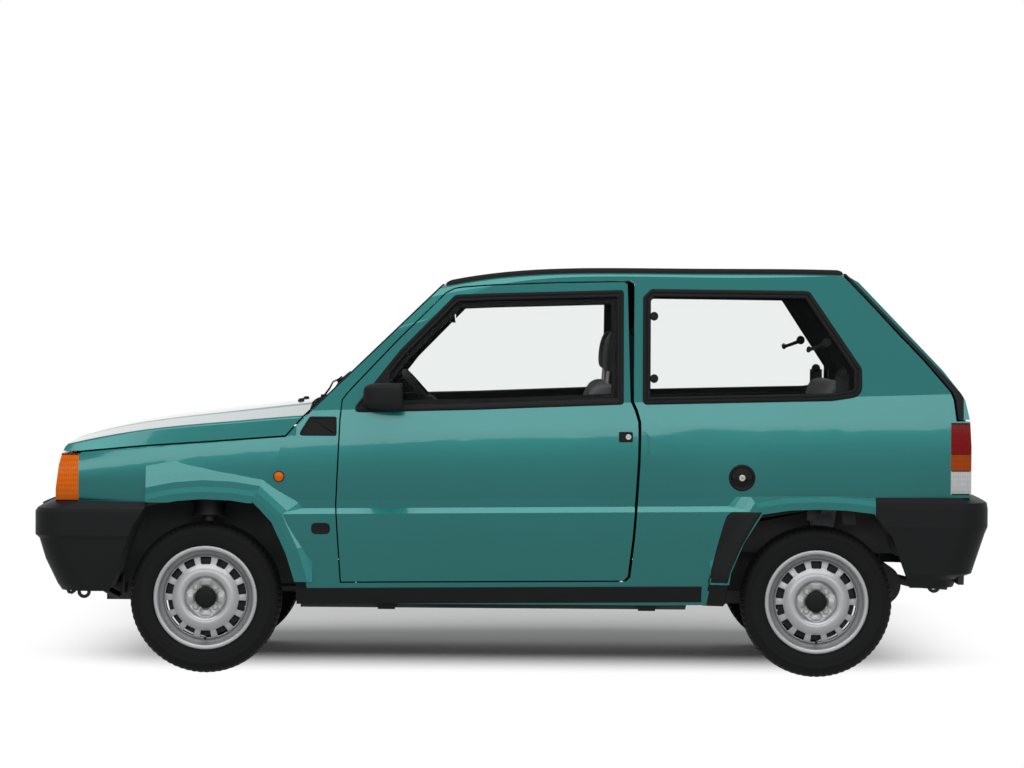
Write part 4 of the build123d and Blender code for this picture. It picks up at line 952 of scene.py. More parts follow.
class CITYCAR_OT_window_seals(Operator):
    """Rubber round the doors' and quarter windows, with the trim frames inside"""

    bl_idname = "citycar.window_seals"
    bl_label = "Window seals"

    def execute(self, context):
        door = spread(rounded(DOOR_WINDOW, DOOR_WINDOW_R), 45.0)
        quarter = spread(rounded(QUARTER, QUARTER_R), 45.0)
        pair("door_window_seal", strip(door, DOOR_SEAL, on_side), "rubber", "{side}_door", 40)
        pair("door_glass_run", strip(door, GLASS_RUN, on_side), "rubber", "{side}_door", 40)
        pair("door_inner_frame", strip(door, INNER_DOOR_FRAME, on_side), "black", "{side}_door", 40)
        pair("quarter_window_seal", strip(quarter, QUARTER_SEAL, on_side), "rubber", soft=40)
        pair("quarter_inner_frame", strip(quarter, INNER_QUARTER_FRAME, on_side), "black", soft=40)
        belt = [(-552, 937.5), (-132, 950.5), (376, 971.5)]
        lip = [(-7, 0.5), (-6, 4.4), (0, 5.4), (7, 4.6), (9, 2.4), (9, -1.5), (-7, -1.5)]
        shape = rings([[on_side(x, z + a, h) for a, h in lip] for x, z in spread(belt, 60.0, closed=False)])
        pair("door_belt_strip", shape, "black", "{side}_door", 40)
        return {"FINISHED"}


SCREEN_LINE = [(-640, 938), (640, 938), (560, 1374), (-560, 1374)]
SCREEN_SEAL = [
    (-7, 3.4), (-6, 5.2), (-2, 6.4), (4, 5.6), (12, 1.0), (15, -4), (15, -9.3), (-1, -9.3), (-1, 2.4),
]
TAIL_LINE = [(-572, -130), (572, -130), (500, 156), (-500, 156)]
TAIL_SEAL = [
    (-7, 0.4), (-6.4, 3.0), (-2, 5.0), (4, 4.6), (13, 0.6), (17, -3), (17, -8.2), (1, -8.2), (0.5, 0.4),
]


class CITYCAR_OT_screen_seals(Operator):
    """Rubber round the windscreen and the tailgate's window, and that window's heater lines"""

    bl_idname = "citycar.screen_seals"
    bl_label = "Screen seals"

    def execute(self, context):
        front = spread(rounded(SCREEN_LINE, 30), 60.0)
        rear = spread(rounded(TAIL_LINE, 40), 60.0)
        piece("windscreen_seal", *strip(front, SCREEN_SEAL, on_screen), "rubber", soft=40)
        piece("tailgate_window_seal", *strip(rear, TAIL_SEAL, on_tail_slope), "rubber", "tailgate", 40)
        lines = []
        for k in range(11):
            up = -104 + k * 23.5
            half = 530 - (up + 130) * 0.252
            path = [on_tail_slope(y, up, -14.0) for y in steps(-half, half, 9)]
            lines.append(tube(path, 0.9, 6, up=(1, 0, 0)))
        piece("tailgate_heater_lines", *joined(lines), "alloy", "tailgate", 60)
        return {"FINISHED"}


# ---------------------------------------------------------------- small outside trim
PAINT_EDGE = ((-757.0, 307.0), (672.0, 323.0))  # lower edge of the painted side, from front to rear
VENT = [(-753, 845), (-619, 845), (-619, 911), (-712, 911)]
PLUG = [(-704, 499), (-639, 499), (-639, 538), (-704, 538)]
LOCK = [(377, 830), (425, 830), (425, 865), (377, 865)]
REPEATER_AT, BARREL_AT = (-820.0, 700.0), (410.0, 847.5)
CAP_AT, CAP_R = (811.0, 707.0), 45.0


class CityCarTrim(PropertyGroup):
    """Small outside trim."""

    strip_width: number("Roof strip", "Width of a roof strip, mm", 20.0, 4.0)
    strip_height: number("Roof strip rise", "Height of a roof strip, mm", 13.0, 2.0)
    strip_half: number("Roof strip place", "Distance of a roof strip from the middle, mm", 577.0)
    sill_depth: number("Sill trim", "Depth of the sill trim, mm", 60.0)


def roof_strip(s):
    """Rubber strip in the roof's gutter, with rounded ends."""
    place = fronted("roof_panel", (0, 0, -1))
    w, h = s.strip_width / 2, s.strip_height
    section = [(-w, -2.0), (-w, h * 0.45), (-w * 0.62, h * 0.88), (0.0, h), (w * 0.62, h * 0.88),
               (w, h * 0.45), (w, -2)]
    low, high = -238.0, 1171.0
    ends = (0, 3, 9, 20)
    loops = []
    for x in [low + e for e in ends] + steps(low + 60, high - 60, 26) + [high - e for e in reversed(ends)]:
        fade = min(1.0, 0.35 + 0.65 * min(1.0, (min(x - low, high - x) / 20.0)) ** 0.5)
        loops.append([place(x, -s.strip_half + a * (0.6 + 0.4 * fade), b * fade) for a, b in section])
    return rings(loops)


def sill_trim(depth):
    """Dark lower edge between the wheel arches."""
    (x0, z0), (x1, z1) = PAINT_EDGE
    loops = []
    for x in steps(x0, x1, 26):
        top = z0 + (z1 - z0) * (x - x0) / (x1 - x0)
        low = top - depth
        section = ((top, 0.2), (top - 1.5, 2.6), (top - 6, 3.4), (top - 9, 2.4), (low + 8, 2.6),
                   (low + 2, 1.0),
                   (low, -3), (low, -12), (top - 4, -4))
        loops.append([on_side(x, z, h) for z, h in section])
    return rings(loops)


# height, and where the trim's front and rear edges are there
ARCH_TRIM = [
    (250, 677, 750), (335, 693, 763), (372, 702, 770), (465, 725, 810), (550, 749, 858), (575, 759, 875),
    (588, 776, 881),
]
SKIN_FROM = 345  # below this height the trim leaves the skin and leans in


def arch_trim_place(u, z):
    """Point on a rear arch's trim; u runs from its front edge to the wheel's."""
    k = max(i for i, row in enumerate(ARCH_TRIM[:-1]) if row[0] <= z)
    (z0, f0, r0), (z1, f1, r1) = ARCH_TRIM[k:k + 2]
    t = (z - z0) / (z1 - z0)
    front, rear = f0 + (f1 - f0) * t, r0 + (r1 - r0) * t
    x = front + (rear - front) * u
    proud = 1.2 if u in (0.0, 1.0) or z in (252, 587) else 4.2
    skin, _ = cast("left_body_side", (x, -900, max(z, SKIN_FROM)), (0, 1, 0))
    return x, skin.y - proud + max(0, SKIN_FROM - z) * 0.45, z


class CITYCAR_OT_side_trim(Operator):
    """Sill and arch trims, vents, plugs, repeaters, locks, the fuel cap and the roof strips"""

    bl_idname = "citycar.side_trim"
    bl_label = "Side trim"

    def execute(self, context):
        s = context.scene.citycar_trim
        pair("roof_strip", roof_strip(s), "rubber", soft=50)
        pair("sill_trim", sill_trim(s.sill_depth), "bumper", soft=30)
        shares = (0.0, 0.05, 0.14, 0.32, 0.5, 0.68, 0.86, 0.95, 1.0)
        heights = [252, 256, 268] + steps(285, 560, 16) + [572, 582, 587]
        sheet = grid(shares, heights, arch_trim_place, 4.0, (0, 1, 0))
        guards = pair("arch_trim", sheet, "bumper", soft=40)
        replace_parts(guards[0], "arch_trims")
        vent = spread(rounded(VENT, [10, 7, 7, 10]), 14.0)
        levels = [(-1, -3), (-1, 1.6), (1.2, 3.0), (4.5, 3.0), (6.5, 1.2), (9, 1.0)]
        pair("cowl_vent", plate(vent, levels, on_side), "black", soft=30)
        plug = spread(rounded(PLUG, 17), 10.0)
        levels = [(-0.5, -2), (-0.5, 1.4), (1, 2.6), (4, 3.0), (6, 2.0), (10, 1.8)]
        pair("side_plug", plate(plug, levels, on_side), "black")
        bezel = [(20, -1), (20, 1.2), (18.8, 2.2), (17, 2.0), (16.5, 0.5)]
        pair("repeater_bezel", round_pad(on_side, REPEATER_AT, bezel, 40), "rubber")
        dome = [(16.8, 0), (17, 4), (16.2, 7), (14, 9), (10, 10.4), (5, 11.1), (1.5, 11.3)]
        pair("repeater_lens", round_pad(on_side, REPEATER_AT, dome, 40), "amber_lamp", soft=50)
        lock = plate(rounded(LOCK, 5), [(-0.5, -2), (-0.5, 2.4), (1.2, 4.0), (5, 4.4), (6, 3.4)], on_side)
        pair("door_lock_plate", lock, "black", "{side}_door")
        barrel = [(10, 3), (10, 6.0), (9, 7.0), (7.2, 7.0), (6.8, 6.2), (2, 6.2)]
        pair("door_lock_barrel", round_pad(on_side, BARREL_AT, barrel), "alloy", "{side}_door")
        slot = [(406, 846.4), (414, 846.4), (414, 848.6), (406, 848.6)]
        slot = plate(slot, [(0, 5.5), (0, 6.5), (0.3, 6.6)], on_side)
        pair("door_lock_slot", slot, "gloss_black", "{side}_door")
        self.fuel_cap()
        return {"FINISHED"}

    def fuel_cap(self):
        """Round cap with a grip across it and a key barrel."""
        ring = [(CAP_R + 2, -1), (CAP_R + 2, 2), (CAP_R, 4.4), (CAP_R - 4, 5.2), (CAP_R - 7, 4.0),
                (CAP_R - 9, 2.2),
                (CAP_R - 14, 2.4), (CAP_R - 20, 4.0), (CAP_R - 24, 6.0), (14, 7.0), (8, 7.0)]
        piece("fuel_cap", *round_pad(on_side, CAP_AT, ring, 40), "black", soft=30)
        x, z = CAP_AT
        bar = spread(rounded([(x - 34, z - 6), (x + 34, z - 6), (x + 34, z + 6), (x - 34, z + 6)], 5), 8.0)
        grip = plate(bar, [(-1, 2), (-1, 8), (0.5, 9.6), (2.4, 10), (4, 9.8)], on_side)
        piece("fuel_cap_grip", *grip, "black")
        key = [(11, 6), (11, 12), (9.6, 13), (6.4, 13), (6, 12), (2, 12)]
        piece("fuel_cap_key", *round_pad(on_side, CAP_AT, key), "alloy")
        notch = [(x - 4, z - 1.2), (x + 4, z - 1.2), (x + 4, z + 1.2), (x - 4, z + 1.2)]
        piece("fuel_cap_key_slot", *plate(notch, [(0, 11), (0, 12.4), (0.3, 12.5)], on_side), "gloss_black")


# ---------------------------------------------------------------- mirrors
MIRROR_MID = (-797.0, 986.0)  # y and z of the housing
HOUSING = (
    (-521, 24, 16), (-519, 40, 27), (-513, 52, 36), (-500, 62, 41.5), (-478, 68, 45), (-440, 72, 47.5),
    (-400, 73.5, 48), (-390, 73, 47.5), (-386, 71, 45.5), (-385, 68, 43), (-387, 66, 41), (-396, 65, 40),
)
SAIL = [(-553, 930), (-433, 939), (-433, 1091)]


class CITYCAR_OT_mirrors(Operator):
    """Door mirrors on their corner plates"""

    bl_idname = "citycar.mirrors"
    bl_label = "Mirrors"

    def execute(self, context):
        y0, z0 = MIRROR_MID
        loops = []
        for x, w, h in HOUSING:
            loops.append([(x, y0 + a, z0 - (x + 440) * 0.02 + b) for a, b in oval(w, h, 5.0, 40)])
        shell = pair("mirror_housing", rings(loops), "bumper", "{side}_door", 50)
        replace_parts(shell[0], "left_mirror")
        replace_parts(shell[1], "right_mirror")
        face = [[(x, y0 + a, z0 - 1 + b) for a, b in oval(w, h, 5.0, 40)] for x, w, h in
                ((-392, 65, 40), (-389.5, 64, 39), (-389, 62, 37), (-389, 30, 18))]
        pair("mirror_glass", rings(face), "silvered", "{side}_door", 30)
        sail = spread(rounded(SAIL, [10, 4, 6]), 20.0)
        levels = [(0, -8.8), (0, 3.4), (1.4, 4.8), (6, 5.4), (9, 4.2), (14, 4.0)]
        pair("mirror_sail", plate(sail, levels, on_side), "bumper", "{side}_door", 30)
        arm = []
        for t, w, h in ((0, 27, 21), (0.25, 22, 17), (0.55, 19, 15), (0.8, 20, 15), (1, 26, 17)):
            x, y, z = -500 + 18 * t, -716 - 40 * t, 953 + 10 * t
            arm.append([(x + a, y, z + b) for a, b in oval(w, h, 3.0, 24)])
        pair("mirror_arm", rings(arm), "bumper", "{side}_door", 50)
        knob = [(0, 0), (7, 0), (8, 2), (7, 5), (5, 26), (7, 30), (6, 34), (0, 35)]
        pair("mirror_adjuster", turned(knob, 20, (-470, -628, 962)), "black", "{side}_door", 40)
        return {"FINISHED"}


# ---------------------------------------------------------------- wipers and washers
def blade(ends, place, low, high):
    """Rubber lip and the bow over it, from one end to the other."""
    (a0, b0), (a1, b1) = ends

    def at(t, off, shift=0.0):
        return place(a0 + (a1 - a0) * t, b0 + (b1 - b0) * t + shift, off)

    lip = ((-1, low), (1, low), (3, low + 4), (3, low + 6), (-3, low + 6), (-3, low + 4))
    rubber = rings([[at(t, off, s) for s, off in lip] for t in steps(0, 1, 15)])
    bow = []
    for t in steps(0.06, 0.94, 17):
        top = low + 8 + (high - low - 8) * (1 - abs(2 * t - 1)) ** 0.6
        bow.append([at(t, off, s) for s, off in ((-3.5, low + 6.5), (3.5, low + 6.5), (3, top), (-3, top))])
    return joined([rubber, rings(bow)])


class CITYCAR_OT_wipers(Operator):
    """Windscreen and rear wipers with their pivots, and the washer nozzles"""

    bl_idname = "citycar.wipers"
    bl_label = "Wipers"

    def execute(self, context):
        front = blade(((-10, 978), (-490, 1062)), on_screen, 2.0, 20.0)
        lip = piece("windscreen_wiper_blade", *front, "black", soft=30)
        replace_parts(lip, "windscreen_wiper")
        knee, hold = on_screen(70, 975, 30), on_screen(-250, 1020, 24)
        middle = tuple(Vector(knee).lerp(Vector(hold), 0.5) + Vector((-6, 0, 6)))
        way = [(-702, 70, 966), (-698, 62, 974), knee, middle, hold]
        arm = tube(way, lambda t: 8.5 - 4.0 * t, 12, squash=0.55, up=(-0.7, 0, 0.7))
        piece("windscreen_wiper_arm", *arm, "black", soft=40)
        boss = [(0, 40), (12, 39), (14, 34), (14, 20), (17, 16), (18, 4), (18, -2), (0, -2)]
        piece("windscreen_wiper_pivot", *turned(boss, 28, (-702, 70, 934), "Z"), "black", soft=30)
        section = ((-6, 17), (6, 17), (6, 27), (-6, 27))
        clip = [[on_screen(-250 + a, 1020 + 0.175 * a + b, h) for b, h in section]
                for a in (-16, -12, 12, 16)]
        piece("windscreen_wiper_clip", *rings(clip), "black", soft=30)
        rear = blade(((60, -84), (-300, -66)), on_tail_slope, -6.0, 12.0)
        lip = piece("rear_wiper_blade", *rear, "black", "tailgate", 30)
        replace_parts(lip, "rear_wiper")
        foot, hold = on_tail_slope(60, -190, 22), on_tail_slope(-120, -75, 12)
        middle = tuple(Vector(foot).lerp(Vector(hold), 0.5) + Vector((3, 0, 3)))
        arm = tube([foot, middle, hold], lambda t: 8.0 - 3.5 * t, 12, squash=0.5, up=(0.7, 0, 0.7))
        piece("rear_wiper_arm", *arm, "black", "tailgate", 40)
        hub = [(19, -1), (19, 5), (16, 9), (14, 24), (12, 29), (8, 31)]
        piece("rear_wiper_pivot", *round_pad(on_tail_slope, (60, -190), hub), "black", "tailgate", 30)
        jet = [(w, w * 0.7, h) for w, h in ((11, -1), (11, 4), (9, 8), (6, 10))]
        piece("rear_washer", *square_pad(on_tail_slope, (120, -196), jet, 3.0, 20), "black", "tailgate", 40)
        on_lid = fronted("bonnet", (0, 0, -1))
        nozzle = [(w, w * 0.7, h) for w, h in ((12, -1), (12, 3), (9, 7), (6, 9))]
        for side, y in (("left", -170.0), ("right", 170.0)):
            piece(f"washer_{side}", *square_pad(on_lid, (-775, y), nozzle, 3.0, 20), "black", "bonnet", 40)
        return {"FINISHED"}


# ---------------------------------------------------------------- lamps
LAMP_Y, LAMP_Z = (418.0, 612.0), (638.0, 774.0)


class CITYCAR_OT_lamps(Operator):
    """Headlamps with bowl, bulb and fluted glass, and the frames of the tail lamps and indicators"""

    bl_idname = "citycar.lamps"
    bl_label = "Lamps"

    def execute(self, context):
        place = fronted("headlamps", (1, 0, 0))
        y0, z0 = sum(LAMP_Y) / 2, sum(LAMP_Z) / 2
        wide, tall = (LAMP_Y[1] - LAMP_Y[0]) / 2, (LAMP_Z[1] - LAMP_Z[0]) / 2
        face = place(-y0, z0)[0]

        def flute(y, z):
            x, fy, fz = place(y, z)
            return x + 0.9 * sin(y * 2 * pi / 11.0) * (1 if abs(z - z0) < tall - 14 else 0) + 1.5, fy, fz

        us, vs = steps(-y0 - wide + 6, -y0 + wide - 6, 65), steps(z0 - tall + 6, z0 + tall - 6, 9)
        covers = pair("headlamp_glass", grid(us, vs, flute, 3.0, (1, 0, 0)), "clear_lens", soft=25)
        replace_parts(covers[0], "headlamps")
        y_in, y_out, z_low, z_high = -y0 + wide - 1, -y0 - wide + 1, z0 - tall + 1, z0 + tall - 1
        corners = [(y_out, z_low), (y_in, z_low), (y_in, z_high), (y_out, z_high)]
        border = spread(rounded(corners, 8), 16.0)

        def within(y, z, h):
            y = max(-y0 - wide + 0.6, min(-y0 + wide - 0.6, y))
            return place(y, max(z0 - tall + 0.6, min(z0 + tall - 0.6, z)), h)

        rim = strip(border, [(0, -8), (0, -1), (1.5, 0.6), (5, 0.2), (7, -2), (7, -60), (0, -60)], within)
        pair("headlamp_rim", rim, "gloss_black", soft=30)
        bowl = []
        for t in steps(1.0, 0.0, 12):
            r = 0.16 + 0.84 * t
            depth = face + 14 + 62 * (1 - t * t) ** 0.9
            outline = oval((wide - 9) * r, (tall - 9) * r, 2.0 + 3.0 * t, 48)
            bowl.append([(depth, -y0 + a, z0 + b) for a, b in outline])
        back = [[(x + 2.5, y, z) for x, y, z in loop] for loop in reversed(bowl)]
        pair("headlamp_bowl", rings(bowl + back, closed_way=True), "silvered", soft=60)
        bulb = [(0, 40), (6, 40), (7.5, 44), (8, 52), (10, 58), (10, 74), (0, 74)]
        lamp = turned([(r, face + a) for r, a in bulb], 24, (0, -y0, z0), "X")
        pair("headlamp_bulb", lamp, "clear_lamp", soft=40)
        self.tail_frames()
        return {"FINISHED"}

    def tail_frames(self):
        """Fine dark lines between a tail lamp's colours, and below and above it and each corner indicator."""
        for name, splits in (("tail_lamps", (735.0, 795.0)), ("front_indicators", ())):
            for side, sign in (("left", -1), ("right", 1)):
                shapes = [self.band(name, sign, z, 1.7) for z in splits]
                low, high = (652.5, 902.5) if name == "tail_lamps" else (608.5, 771.5)
                shapes += [self.band(name, sign, low, 2.2), self.band(name, sign, high, 2.2)]
                finish = "gloss_black" if name == "tail_lamps" else "rubber"
                piece(f"{name}_lines_{side}", *joined(shapes), finish, soft=30)

    def band(self, name, sign, z, half):
        """Fine raised line round a corner lamp at one height."""
        path = corner_path(name, sign, z)
        loops = []
        for k, p in enumerate(path):
            d = (path[min(len(path) - 1, k + 1)] - path[max(0, k - 1)]).normalized()
            out = Vector((-d.y, d.x, 0))
            if out.dot(Vector((p.x, p.y, 0))) < 0:
                out = -out
            loops.append([tuple(p + out * h + Vector((0, 0, v))) for h, v in
                          ((-3, -half), (0.7, -half), (1.0, 0), (0.7, half), (-3, half))])
        return rings(loops)


LAMP_INSIDE = {"tail_lamps": 550.0, "front_indicators": 612.0}  # a corner lamp's inner edge


def corner_path(node, sign, z, count=27):
    """Outer line of a packed corner lamp at one height, from its side round to its face."""
    low, high = (Vector(c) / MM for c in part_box(node))
    rear = 1 if low.x > 0 else -1
    inner = Vector((low.x if rear > 0 else high.x, sign * LAMP_INSIDE[node], z))
    out = []
    for t in steps(radians(1.0), radians(89.0), count):
        way = Vector((rear * sin(t), sign * cos(t), 0))
        out.append(cast(node, inner + way * 400, -way)[0])
    return out


# ---------------------------------------------------------------- number plates, hook, guard
HANDLE_AT = (0, 880)  # y and z on the tailgate


class CITYCAR_OT_end_fittings(Operator):
    """Blank plates, plate lamps, tailgate lock, towing hook and the guard below the front bumper"""

    bl_idname = "citycar.end_fittings"
    bl_label = "End fittings"

    def execute(self, context):
        self.number_plate("number_plate_front", "front_bumper", (1, 0, 0), 524.0, "body")
        self.number_plate("number_plate_rear", "tailgate", (-1, 0, 0), 762.0, "tailgate")
        at = fronted("tailgate", (-1, 0, 0))
        shell = [(34, 12, -1), (34, 12, 8), (31, 10, 14), (22, 6, 16)]
        for side, y in (("left", -120.0), ("right", 120.0)):
            piece(f"plate_lamp_{side}", *square_pad(at, (y, 842), shell, 4.0, 28), "black", "tailgate", 40)
        handle = [(52, 15, -1), (52, 15, 4), (49, 13, 8), (42, 9, 9.5)]
        piece("tailgate_handle", *square_pad(at, HANDLE_AT, handle, 4.0, 32), "black", "tailgate", 40)
        barrel = [(12, 8), (12, 13), (10, 14.5), (7, 14.5), (6.6, 13.4), (2, 13.4)]
        piece("tailgate_lock", *round_pad(at, HANDLE_AT, barrel), "alloy", "tailgate", 30)
        bend = [(-1556, 300), (-1558, 286), (-1562, 276), (-1572, 270), (-1581, 272), (-1586, 280)]
        hook = tube([(x, -520.0, z) for x, z in bend], 6.0, 12)
        piece("towing_hook", *hook, "chassis", soft=50)
        self.guard()
        return {"FINISHED"}

    def number_plate(self, name, node, way, z0, body):
        """Blank plate in a dark holder, bent to the face it is fixed on."""

        def bent(y, z, h):
            hit, _ = cast(node, (-RAY_FROM * way[0], y, z0), way)
            return hit.x - way[0] * (4.0 + h), y, z

        corners = [(-260, z0 - 55), (260, z0 - 55), (260, z0 + 55), (-260, z0 + 55)]
        outline = spread(rounded(corners, 9), 40.0)
        ys, zs = steps(-256, 256, 27), steps(z0 - 51, z0 + 51, 5)
        sheet = grid(ys, zs, lambda y, z: bent(y, z, 1.2), 2.0, way)
        piece(name, *sheet, "plate_front", body, 30)
        edge = strip(outline, [(-3, -3), (-3, 1.6), (-1, 3.0), (3, 2.8), (5, 1.0), (5, -3)], bent)
        piece(f"{name}_holder", *edge, "black", body, 30)

    def guard(self):
        """Dark sheet that closes the gap between bumper and wheel well."""
        section = [(-1512, 306), (-1475, 280), (-1440, 258), (-1412, 246), (-1398, 258), (-1396, 330),
                   (-1400, 330),
                   (-1403, 262), (-1414, 252), (-1440, 264), (-1473, 286), (-1510, 311)]
        loops = [[(x + inset, y, z + inset * 0.3) for x, z in section] for y, inset in
                 ((-500, 12), (-492, 2), (-450, 0), (-400, 0), (-330, 0), (-318, 6))]
        pair("front_guard", rings(loops), "chassis", soft=30)


# ---------------------------------------------------------------- seats
SEAT_Y, SEAT_HALF = 352.0, 226.0
SEAT_BASE = [(-182, 424), (-206, 498), (-176, 520), (150, 484), (240, 468), (232, 376), (-140, 368)]
SEAT_BACK = [
    (170, 480), (199, 700), (297, 1028), (316, 1042), (356, 1042), (371, 1026), (321, 762), (262, 446),
]
HEADREST = [(325, 1072), (341, 1198), (352, 1216), (378, 1216), (383, 1198), (362, 1072)]
BENCH = [(655, 462), (610, 478), (614, 556), (652, 568), (1052, 533), (1060, 458)]
BENCH_BACK = [(1068, 470), (1136, 1036), (1152, 1056), (1192, 1056), (1202, 1036), (1142, 470)]


class CityCarSeats(PropertyGroup):
    """Seats."""

    swell: FloatProperty(
        name="Swell", description="How far a pad's cover may rise over its foam, mm", default=12.0, min=0.0,
        max=30.0)
    pressure: number("Fill", "Pressure inside a pad while it settles", 4.0)
    mesh_size: number("Pad mesh", "Size of a pad's mesh cells, mm", 13.0, 6.0)


def bolster(section, y0, y1, crown=0.0, pull=0.94):
    """Pad blank: the side outline carried across, drawn in a little toward its ends."""
    middle = Vector((sum(p[0] for p in section) / len(section), sum(p[1] for p in section) / len(section)))
    loops = []
    for t in (0.0, 0.06, 0.2, 0.5, 0.8, 0.94, 1.0):
        shrink = pull + (1 - pull) * min(1.0, min(t, 1 - t) / 0.2) ** 0.5
        lift = crown * (2 * t - 1) ** 2
        y = y0 + (y1 - y0) * t
        loops.append([(middle.x + (x - middle.x) * shrink, y, middle.y + (z - middle.y) * shrink + lift)
                      for x, z in section])
    return rings(loops)


def pad(name, shape, finish, body="body", sewn=()):
    """Cushion: remeshed, blown up as cloth within a cap, then drawn in along its sewn lines."""
    s = bpy.context.scene.citycar_seats
    obj = piece(name, *shape, finish, body, 60)
    grid_up = obj.modifiers.new("grid", "REMESH")
    grid_up.mode, grid_up.voxel_size = "VOXEL", s.mesh_size * MM
    apply_all(obj)
    rest = [v.co.copy() for v in obj.data.vertices]
    cloth = obj.modifiers.new("cover", "CLOTH")
    cloth.settings.use_pressure = True
    cloth.settings.uniform_pressure_force = s.pressure
    cloth.settings.effector_weights.gravity = 0.0
    cloth.point_cache.frame_start, cloth.point_cache.frame_end = 1, 20
    for k in range(1, 21):
        bpy.context.scene.frame_set(k)
    apply_all(obj)
    bpy.context.scene.frame_set(1)
    for v, home in zip(obj.data.vertices, rest):
        far = v.co - home
        if far.length > s.swell * MM:
            v.co = home + far.normalized() * s.swell * MM
    refine(obj, 1)
    apply_all(obj)
    facing = [v.normal.copy() for v in obj.data.vertices]
    for v, out in zip(obj.data.vertices, facing):
        draw = max([line(v.co / MM) for line in sewn] + [0.0])
        v.co -= out * draw * MM
    for p in obj.data.polygons:
        p.use_smooth = True
    return obj


def apply_all(obj):
    """Turns the modifiers' result into the object's own mesh."""
    graph = bpy.context.evaluated_depsgraph_get()
    mesh = bpy.data.meshes.new_from_object(obj.evaluated_get(graph))
    obj.modifiers.clear()
    old, obj.data = obj.data, mesh
    bpy.data.meshes.remove(old)


def channel(read, at, deep, wide):
    """Sewn line: how deep the cover is drawn in where read(point) is near a value."""
    return lambda p: deep * max(0.0, 1.0 - abs(read(p) - at) / wide) ** 2


def cross_seam(mid, half, line, above=0.0):
    """A sewn line kept between a front seat's two long seams, and above a height."""
    return lambda p: line(p) if abs(p.y - mid) < half and p.z > above else 0.0


def piping(obj, line, way, radius=2.6):
    """Cord laid on a pad along points, found by looking down on it."""
    tree = ray_tree(obj.data)
    path = []
    for p in line:
        hit, _, _, _ = tree.ray_cast((Vector(p) - Vector(way) * 400) * MM, Vector(way))
        if hit is not None:
            path.append(tuple(hit / MM - Vector(way) * radius * 0.2))
    return tube(path, radius, 8)


class CITYCAR_OT_seats(Operator):
    """Front seats with headrests and frames, and the rear bench"""

    bl_idname = "citycar.seats"
    bl_label = "Seats"

    def execute(self, context):
        fronts = []
        for side, sign in (("left", -1), ("right", 1)):
            mid = sign * SEAT_Y

            def off_middle(p, m=mid):
                return abs(p.y - m)

            lines = [channel(off_middle, 132.0, 6.0, 14.0)]
            for at in (-110.0, -30.0, 50.0):
                lines.append(cross_seam(mid, 132.0, channel(lambda q: q.x, at, 4.5, 11.0), 470.0))
            shape = bolster(SEAT_BASE, mid - SEAT_HALF, mid + SEAT_HALF, 8.0)
            base = pad(f"seat_cushion_{side}", shape, "cloth", sewn=lines)
            lines = [channel(off_middle, 128.0, 6.0, 14.0)]
            for at in (620.0, 720.0, 820.0, 920.0):
                lines.append(cross_seam(mid, 128.0, channel(lambda q: q.z, at, 4.0, 10.0)))
            shape = bolster(SEAT_BACK, mid - SEAT_HALF, mid + SEAT_HALF)
            back = pad(f"seat_back_{side}", shape, "cloth", sewn=lines)
            rest = pad(f"headrest_{side}", bolster(HEADREST, mid - 112, mid + 112, 0.0, 0.86), "dark_cloth")
            fronts += [base, back, rest]
            self.frame(side, mid)
            edges = []
            for y in (mid - SEAT_HALF + 26, mid + SEAT_HALF - 26):
                edges.append(piping(back, [(280, y, z) for z in steps(560, 1024, 14)], (1, 0, 0)))
                edges.append(piping(base, [(x, y, 600) for x in steps(-170, 180, 12)], (0, 0, -1)))
            piece(f"seat_piping_{side}", *joined(edges), "dark_cloth", soft=60)
        for obj in fronts:
            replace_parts(obj, "front_seats")
        self.bench()
        return {"FINISHED"}

    def frame(self, side, mid):
        """Runners, recliners and headrest posts of one front seat."""
        rails = []
        for y in (mid - 170, mid + 170):
            rails.append(brick((-200, y - 16, 256), (260, y + 16, 272), 4))
            rails.append(brick((-160, y - 11, 272), (210, y + 11, 300), 4))
            rails.append(tube([(-130, y, 290), (-120, y, 372)], 11, 12))
            rails.append(tube([(170, y, 290), (180, y, 372)], 11, 12))
        piece(f"seat_runners_{side}", *joined(rails), "chassis", soft=30)
        posts = [tube([(342, mid + y, 1030), (346, mid + y, 1092)], 5.5, 14) for y in (-55, 55)]
        piece(f"headrest_posts_{side}", *joined(posts), "zinc", soft=50)
        covers = []
        for sign in (-1, 1):
            y = mid + sign * (SEAT_HALF + 4)
            dish = [(0, -9), (42, -9), (47, -5), (48, 2), (44, 8), (0, 10)]
            if sign < 0:
                dish = [(r, -a) for r, a in reversed(dish)]
            covers.append(turned(dish, 32, (225, y, 452)))
        knob = [(0, -12), (24, -12), (30, -8), (31, 4), (28, 10), (0, 12)]
        covers.append(turned(knob, 12, (225, mid - SEAT_HALF - 20, 452)))
        piece(f"seat_recliners_{side}", *joined(covers), "black", soft=35)

    def bench(self):
        """The rear seat's cushion and backrest, sewn across, with piping."""

        def half(p):
            return abs(p.y)

        rib = [channel(half, at, 4.5, 12.0) for at in (4.0, 170.0, 330.0)]
        cushion = pad("rear_cushion", bolster(BENCH, -446, 446, 4.0), "cloth", sewn=rib)
        lines = [rib[0], channel(half, 290.0, 5.0, 12.0), channel(lambda q: q.z, 900.0, 4.0, 10.0)]
        back = pad("rear_backrest", bolster(BENCH_BACK, -560, 560), "cloth", sewn=lines)
        for obj in (cushion, back):
            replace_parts(obj, "rear_seat")
        cords = [piping(back, [(x, y, 1200) for x in steps(1142, 1200, 6)], (0, 0, -1))
                 for y in (-525, 525)]
        cords += [piping(back, [(1000, y, z) for z in steps(620, 1040, 12)], (1, 0, 0))
                  for y in (-525, 525)]
        piece("rear_seat_piping", *joined(cords), "dark_cloth", soft=60)


